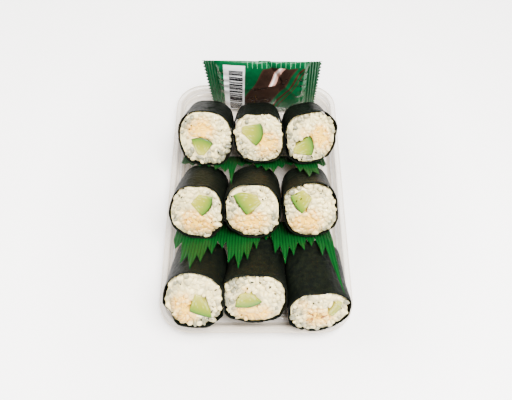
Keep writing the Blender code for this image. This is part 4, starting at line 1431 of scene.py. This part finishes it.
def sachet_material(look):
    """Printed and laminated polyester film: a hard gloss over flat fields of ink, with a painted highlight
    among them.
    """
    material, tree = new_material(
        "polyester_film_printed", Roughness=0.25, IOR=1.35, Specular_IOR_Level=0.12, Coat_Weight=0.12,
        Coat_Roughness=0.06,
    )
    chart = add_node(tree, "ShaderNodeUVMap", uv_map="panel").outputs[0]
    across, up = add_node(tree, "ShaderNodeSeparateXYZ", {0: chart}).outputs[:2]
    ruddy = colour("#35201A")
    # The bands bend a little
    uneven = add_node(tree, "ShaderNodeTexNoise", {"Vector": chart, "Scale": 1.4, "Detail": 0.0})
    shifted = add_node(tree, "ShaderNodeVectorMath", {0: uneven.outputs["Color"], 1: (0.5, 0.5, 0.5)},
                       operation="SUBTRACT")
    scaled = add_node(tree, "ShaderNodeVectorMath", {0: shifted.outputs[0], 1: (BAND_BEND, BAND_BEND, 0)},
                      operation="MULTIPLY")
    wavy = add_node(tree, "ShaderNodeVectorMath", {0: chart, 1: scaled.outputs[0]}).outputs[0]
    wavy = add_node(tree, "ShaderNodeSeparateXYZ", {0: wavy}).outputs
    leaning = add_node(tree, "ShaderNodeMath", {0: wavy[1], 1: BAND_LEAN, 2: wavy[0]},
                       operation="MULTIPLY_ADD").outputs[0]
    # Leaning bands: from and to across, from and to up, ink. The pale pink and white stripes are partly
    # print and partly a painted highlight of glare on the film
    bands = (
        (-0.26, 0.32, -1.1, 0.82, ruddy), (-0.23, 0.29, -1.1, 0.82, look.brown),
        # Painted highlight: the pale pink and white stripes inside the brown band
        (0.01, 0.12, 0.2, 0.82, colour("#C99684")), (0.03, 0.07, 0.2, 0.82, colour("#F3E6DF")),
        (0.40, 0.44, -1.1, 0.82, look.red), (0.49, 0.51, -1.1, 0.82, look.red),
    )
    layers = [
        (box_field(tree, (leaning, up), (start, low), (end, high), 0.012), ink)
        for start, end, low, high, ink in bands
    ]
    # A row of short dashes along the top edge
    beat = add_node(tree, "ShaderNodeMath", {0: across, 1: DASHES}, operation="MULTIPLY")
    beat = add_node(tree, "ShaderNodeMath", {0: beat.outputs[0]}, operation="FRACT")
    on = add_node(tree, "ShaderNodeMath", {0: beat.outputs[0], 1: DASH_BARE}, operation="GREATER_THAN")
    dash = add_node(tree, "ShaderNodeMath", {0: on.outputs[0], 1: box_field(
        tree, (across, up), (-0.26, 0.84), (0.80, 1.1))}, operation="MULTIPLY")
    layers.append((dash.outputs[0], colour("#5A9A70")))
    # The pale panel leans a little against the sides
    slant = add_node(tree, "ShaderNodeMath", {0: up, 1: PANEL_LEAN, 2: across}, operation="MULTIPLY_ADD")
    slant = slant.outputs[0]
    layers.append((box_field(tree, (slant, up), (-0.70, -1.1), (-0.335, 0.9)), look.label))
    # Its bars are a noise drawn out sideways, and encode nothing
    spread = add_node(tree, "ShaderNodeMapping", {0: chart, 3: (0.0, BARS, 0.0)})
    bars = add_node(tree, "ShaderNodeTexNoise", {"Vector": spread.outputs[0], "Scale": 1.0, "Detail": 3.0,
                                                 "Roughness": 0.7})
    dark = add_node(tree, "ShaderNodeMath", {0: bars.outputs[0], 1: BAR_LEVEL}, operation="GREATER_THAN")
    barred = add_node(tree, "ShaderNodeMath", {0: dark.outputs[0], 1: box_field(
        tree, (slant, up), (-0.61, -0.98), (-0.37, 0.74))}, operation="MULTIPLY")
    layers.append((barred.outputs[0], colour("#1E1D20")))
    shade = look.green
    for factor, ink in layers:
        shade = add_node(tree, "ShaderNodeMix", {0: factor, 6: shade, 7: ink}, data_type="RGBA").outputs[2]
    printed = add_node(tree, "ShaderNodeAttribute", attribute_name="printed")
    shade = add_node(tree, "ShaderNodeMix", {0: printed.outputs["Fac"], 6: look.green, 7: shade},
                     data_type="RGBA").outputs[2]
    place = add_node(tree, "ShaderNodeTexCoord").outputs["Object"]
    # Small creases of a handled film
    crease = add_node(tree, "ShaderNodeTexNoise", {"Vector": place, "Scale": pitch(5.88), "Detail": 2.0})
    bump = add_node(tree, "ShaderNodeBump", {"Height": crease.outputs[0], "Strength": 0.35,
                                             "Distance": 1.0 * MM})
    feed(tree, Base_Color=shade, Normal=bump.outputs[0])
    return material


class SUSHI_OT_add_sachet(bpy.types.Operator):
    """Adds the creased, filled sachet with its crimped and zigzag-cut ends"""

    bl_idname = "sushi.add_sachet"
    bl_label = "Sachet"

    def execute(self, context):
        look = context.scene.sushi_sachet
        bm = bmesh.new()
        chart = bm.loops.layers.uv.new("panel")
        printed = bm.verts.layers.float.new("printed")
        bmesh.ops.create_grid(bm, x_segments=POUCH_COLUMNS, y_segments=POUCH_ROWS, size=1)
        front = set(new_verts(bmesh.ops.extrude_face_region(bm, geom=bm.faces[:])))
        flat = {}
        for vert in bm.verts:
            flat[vert] = (vert.co.x, vert.co.y)
            vert[printed] = float(vert in front)
            vert.co = pouch_point(vert.co.x, vert.co.y, vert in front, look)
        outwards(bm)
        chart_loops(bm, chart, flat)
        finish_piece(bm, "pouch", [sachet_material(look)], ["sachet"], 70)
        return {"FINISHED"}


# Stage -----------------------------------------------------------------------------------

TABLE_HALF = 3.0  # metres
GLOW_REACH = (0.09, 0.125, 1.0)  # metres across, along and up that its glow is measured by
WORLD_STRENGTH = 0.25
KEY_PLACE, KEY_SIZE = (0.16, -0.25, 0.75), 0.36  # metres
FILL_PLACE, FILL_SIZE, FILL_SHARE = (-0.55, 0.1, 0.6), 0.5, 0.25  # share of the key light's power
CAMERA_PLACE = (0, -0.2017, 0.3290)
CAMERA_TILT = math.radians(32)
CAMERA_LENS, CAMERA_SENSOR = 42.19, 36  # millimetres
CAMERA_NEAR = 0.01


class StageProperties(bpy.types.PropertyGroup):
    """The table top and the light."""

    table: tint("Table", "Colour of the table top", "#F5F1EE")
    glow: FloatProperty(name="Glow", description="Light that the table top adds of its own", default=1.5,
                        min=0)
    key: FloatProperty(name="Key light", description="Power of the large light overhead", default=36.0,
                       min=0, unit="POWER")


def table_material(look):
    """White satin laminate, faintly clouded, with light of its own that keeps it pale."""
    material, tree = new_material("laminate_satin_white", Roughness=0.5)
    place = add_node(tree, "ShaderNodeTexCoord").outputs["Object"]
    cloud = add_node(tree, "ShaderNodeTexNoise", {"Vector": place, "Scale": pitch(111)})
    mixed = add_node(tree, "ShaderNodeMix", {0: cloud.outputs[0], 6: look.table, 7: colour("#F8F5F3")},
                     data_type="RGBA")
    # The table top's own light fades in past the tray
    shares = tuple(1 / reach for reach in GLOW_REACH)
    size = add_node(tree, "ShaderNodeMapping", {0: place, 3: shares})
    away = add_node(tree, "ShaderNodeVectorMath", {0: size.outputs[0]}, operation="LENGTH")
    lit = add_node(tree, "ShaderNodeMapRange", {"Value": away.outputs["Value"], "From Min": 0.75,
                                                "From Max": 1.6, "To Max": look.glow})
    feed(tree, Base_Color=mixed.outputs[2], Emission_Color=mixed.outputs[2],
         Emission_Strength=lit.outputs[0])
    return material


class SUSHI_OT_add_stage(bpy.types.Operator):
    """Adds the pale table top, the soft studio light and the camera"""

    bl_idname = "sushi.add_stage"
    bl_label = "Stage"

    def execute(self, context):
        look = context.scene.sushi_stage
        bm = bmesh.new()
        bmesh.ops.create_grid(bm, x_segments=4, y_segments=4, size=TABLE_HALF)
        mesh = mesh_from(bm, "table_top")
        table = bpy.data.objects.new("table_top", mesh)
        context.scene.collection.objects.link(table)
        table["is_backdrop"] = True
        mesh.materials.append(table_material(look))

        world = bpy.data.worlds.new("studio")
        world.use_nodes = True
        background = world.node_tree.nodes["Background"].inputs
        background["Color"].default_value = colour("#FFFDFA")
        background["Strength"].default_value = WORLD_STRENGTH
        context.scene.world = world
        self.light("key", KEY_PLACE, KEY_SIZE, look.key)
        self.light("fill", FILL_PLACE, FILL_SIZE, FILL_SHARE * look.key)

        camera = bpy.data.cameras.new("camera")
        camera.lens, camera.sensor_width = CAMERA_LENS, CAMERA_SENSOR
        camera.clip_start = CAMERA_NEAR
        item = bpy.data.objects.new("camera", camera)
        item.location = CAMERA_PLACE
        item.rotation_euler = (CAMERA_TILT, 0, 0)
        context.scene.collection.objects.link(item)
        context.scene.camera = item
        return {"FINISHED"}

    def light(self, name, place, size, power):
        """Adds a square light that faces the origin."""
        lamp = bpy.data.lights.new(name, "AREA")
        lamp.size, lamp.energy = size, power
        item = bpy.data.objects.new(name, lamp)
        item.location = place
        item.rotation_euler = (-Vector(place)).to_track_quat("-Z", "Y").to_euler()
        bpy.context.scene.collection.objects.link(item)


# Add-on ----------------------------------------------------------------------------------

GROUPS = {
    "sushi_tray": TrayProperties, "sushi_nori": NoriProperties, "sushi_rice": RiceProperties,
    "sushi_tuna": TunaProperties, "sushi_cucumber": CucumberProperties, "sushi_grass": GrassProperties,
    "sushi_sachet": SachetProperties, "sushi_stage": StageProperties,
}
OPERATORS = (
    SUSHI_OT_add_tray, SUSHI_OT_add_nori, SUSHI_OT_add_rice, SUSHI_OT_add_tuna, SUSHI_OT_add_cucumber,
    SUSHI_OT_add_grass, SUSHI_OT_add_sachet, SUSHI_OT_add_stage,
)


class SUSHI_PT_panel(bpy.types.Panel):
    """Sizes, colours and the pieces, in the order that they are added"""

    bl_idname = "SUSHI_PT_panel"
    bl_label = "Tuna cucumber roll tray"
    bl_space_type = "VIEW_3D"
    bl_region_type = "UI"
    bl_category = "Sushi"

    def draw(self, context):
        for (name, group), operator in zip(GROUPS.items(), OPERATORS):
            box = self.layout.box()
            for key in group.__annotations__:
                box.prop(getattr(context.scene, name), key)
            box.operator(operator.bl_idname)


def register():
    """Adds the classes, and each group of properties to the scene."""
    for group in (*GROUPS.values(), *OPERATORS, SUSHI_PT_panel):
        bpy.utils.register_class(group)
    for name, group in GROUPS.items():
        setattr(bpy.types.Scene, name, PointerProperty(type=group))


def unregister():
    """Takes away what register adds."""
    for name in GROUPS:
        delattr(bpy.types.Scene, name)
    for group in reversed((*GROUPS.values(), *OPERATORS, SUSHI_PT_panel)):
        bpy.utils.unregister_class(group)


def main():
    """Builds every piece and the stage."""
    register()
    bpy.ops.sushi.add_tray()
    bpy.ops.sushi.add_nori()
    bpy.ops.sushi.add_rice()
    bpy.ops.sushi.add_tuna()
    bpy.ops.sushi.add_cucumber()
    bpy.ops.sushi.add_grass()
    bpy.ops.sushi.add_sachet()
    bpy.ops.sushi.add_stage()
    boxes = {"solid": SOLID_BOX, "dressed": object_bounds()}
    {name: [list(corner) for corner in box] for name, box in boxes.items()}


if __name__ == "__main__":
    main()
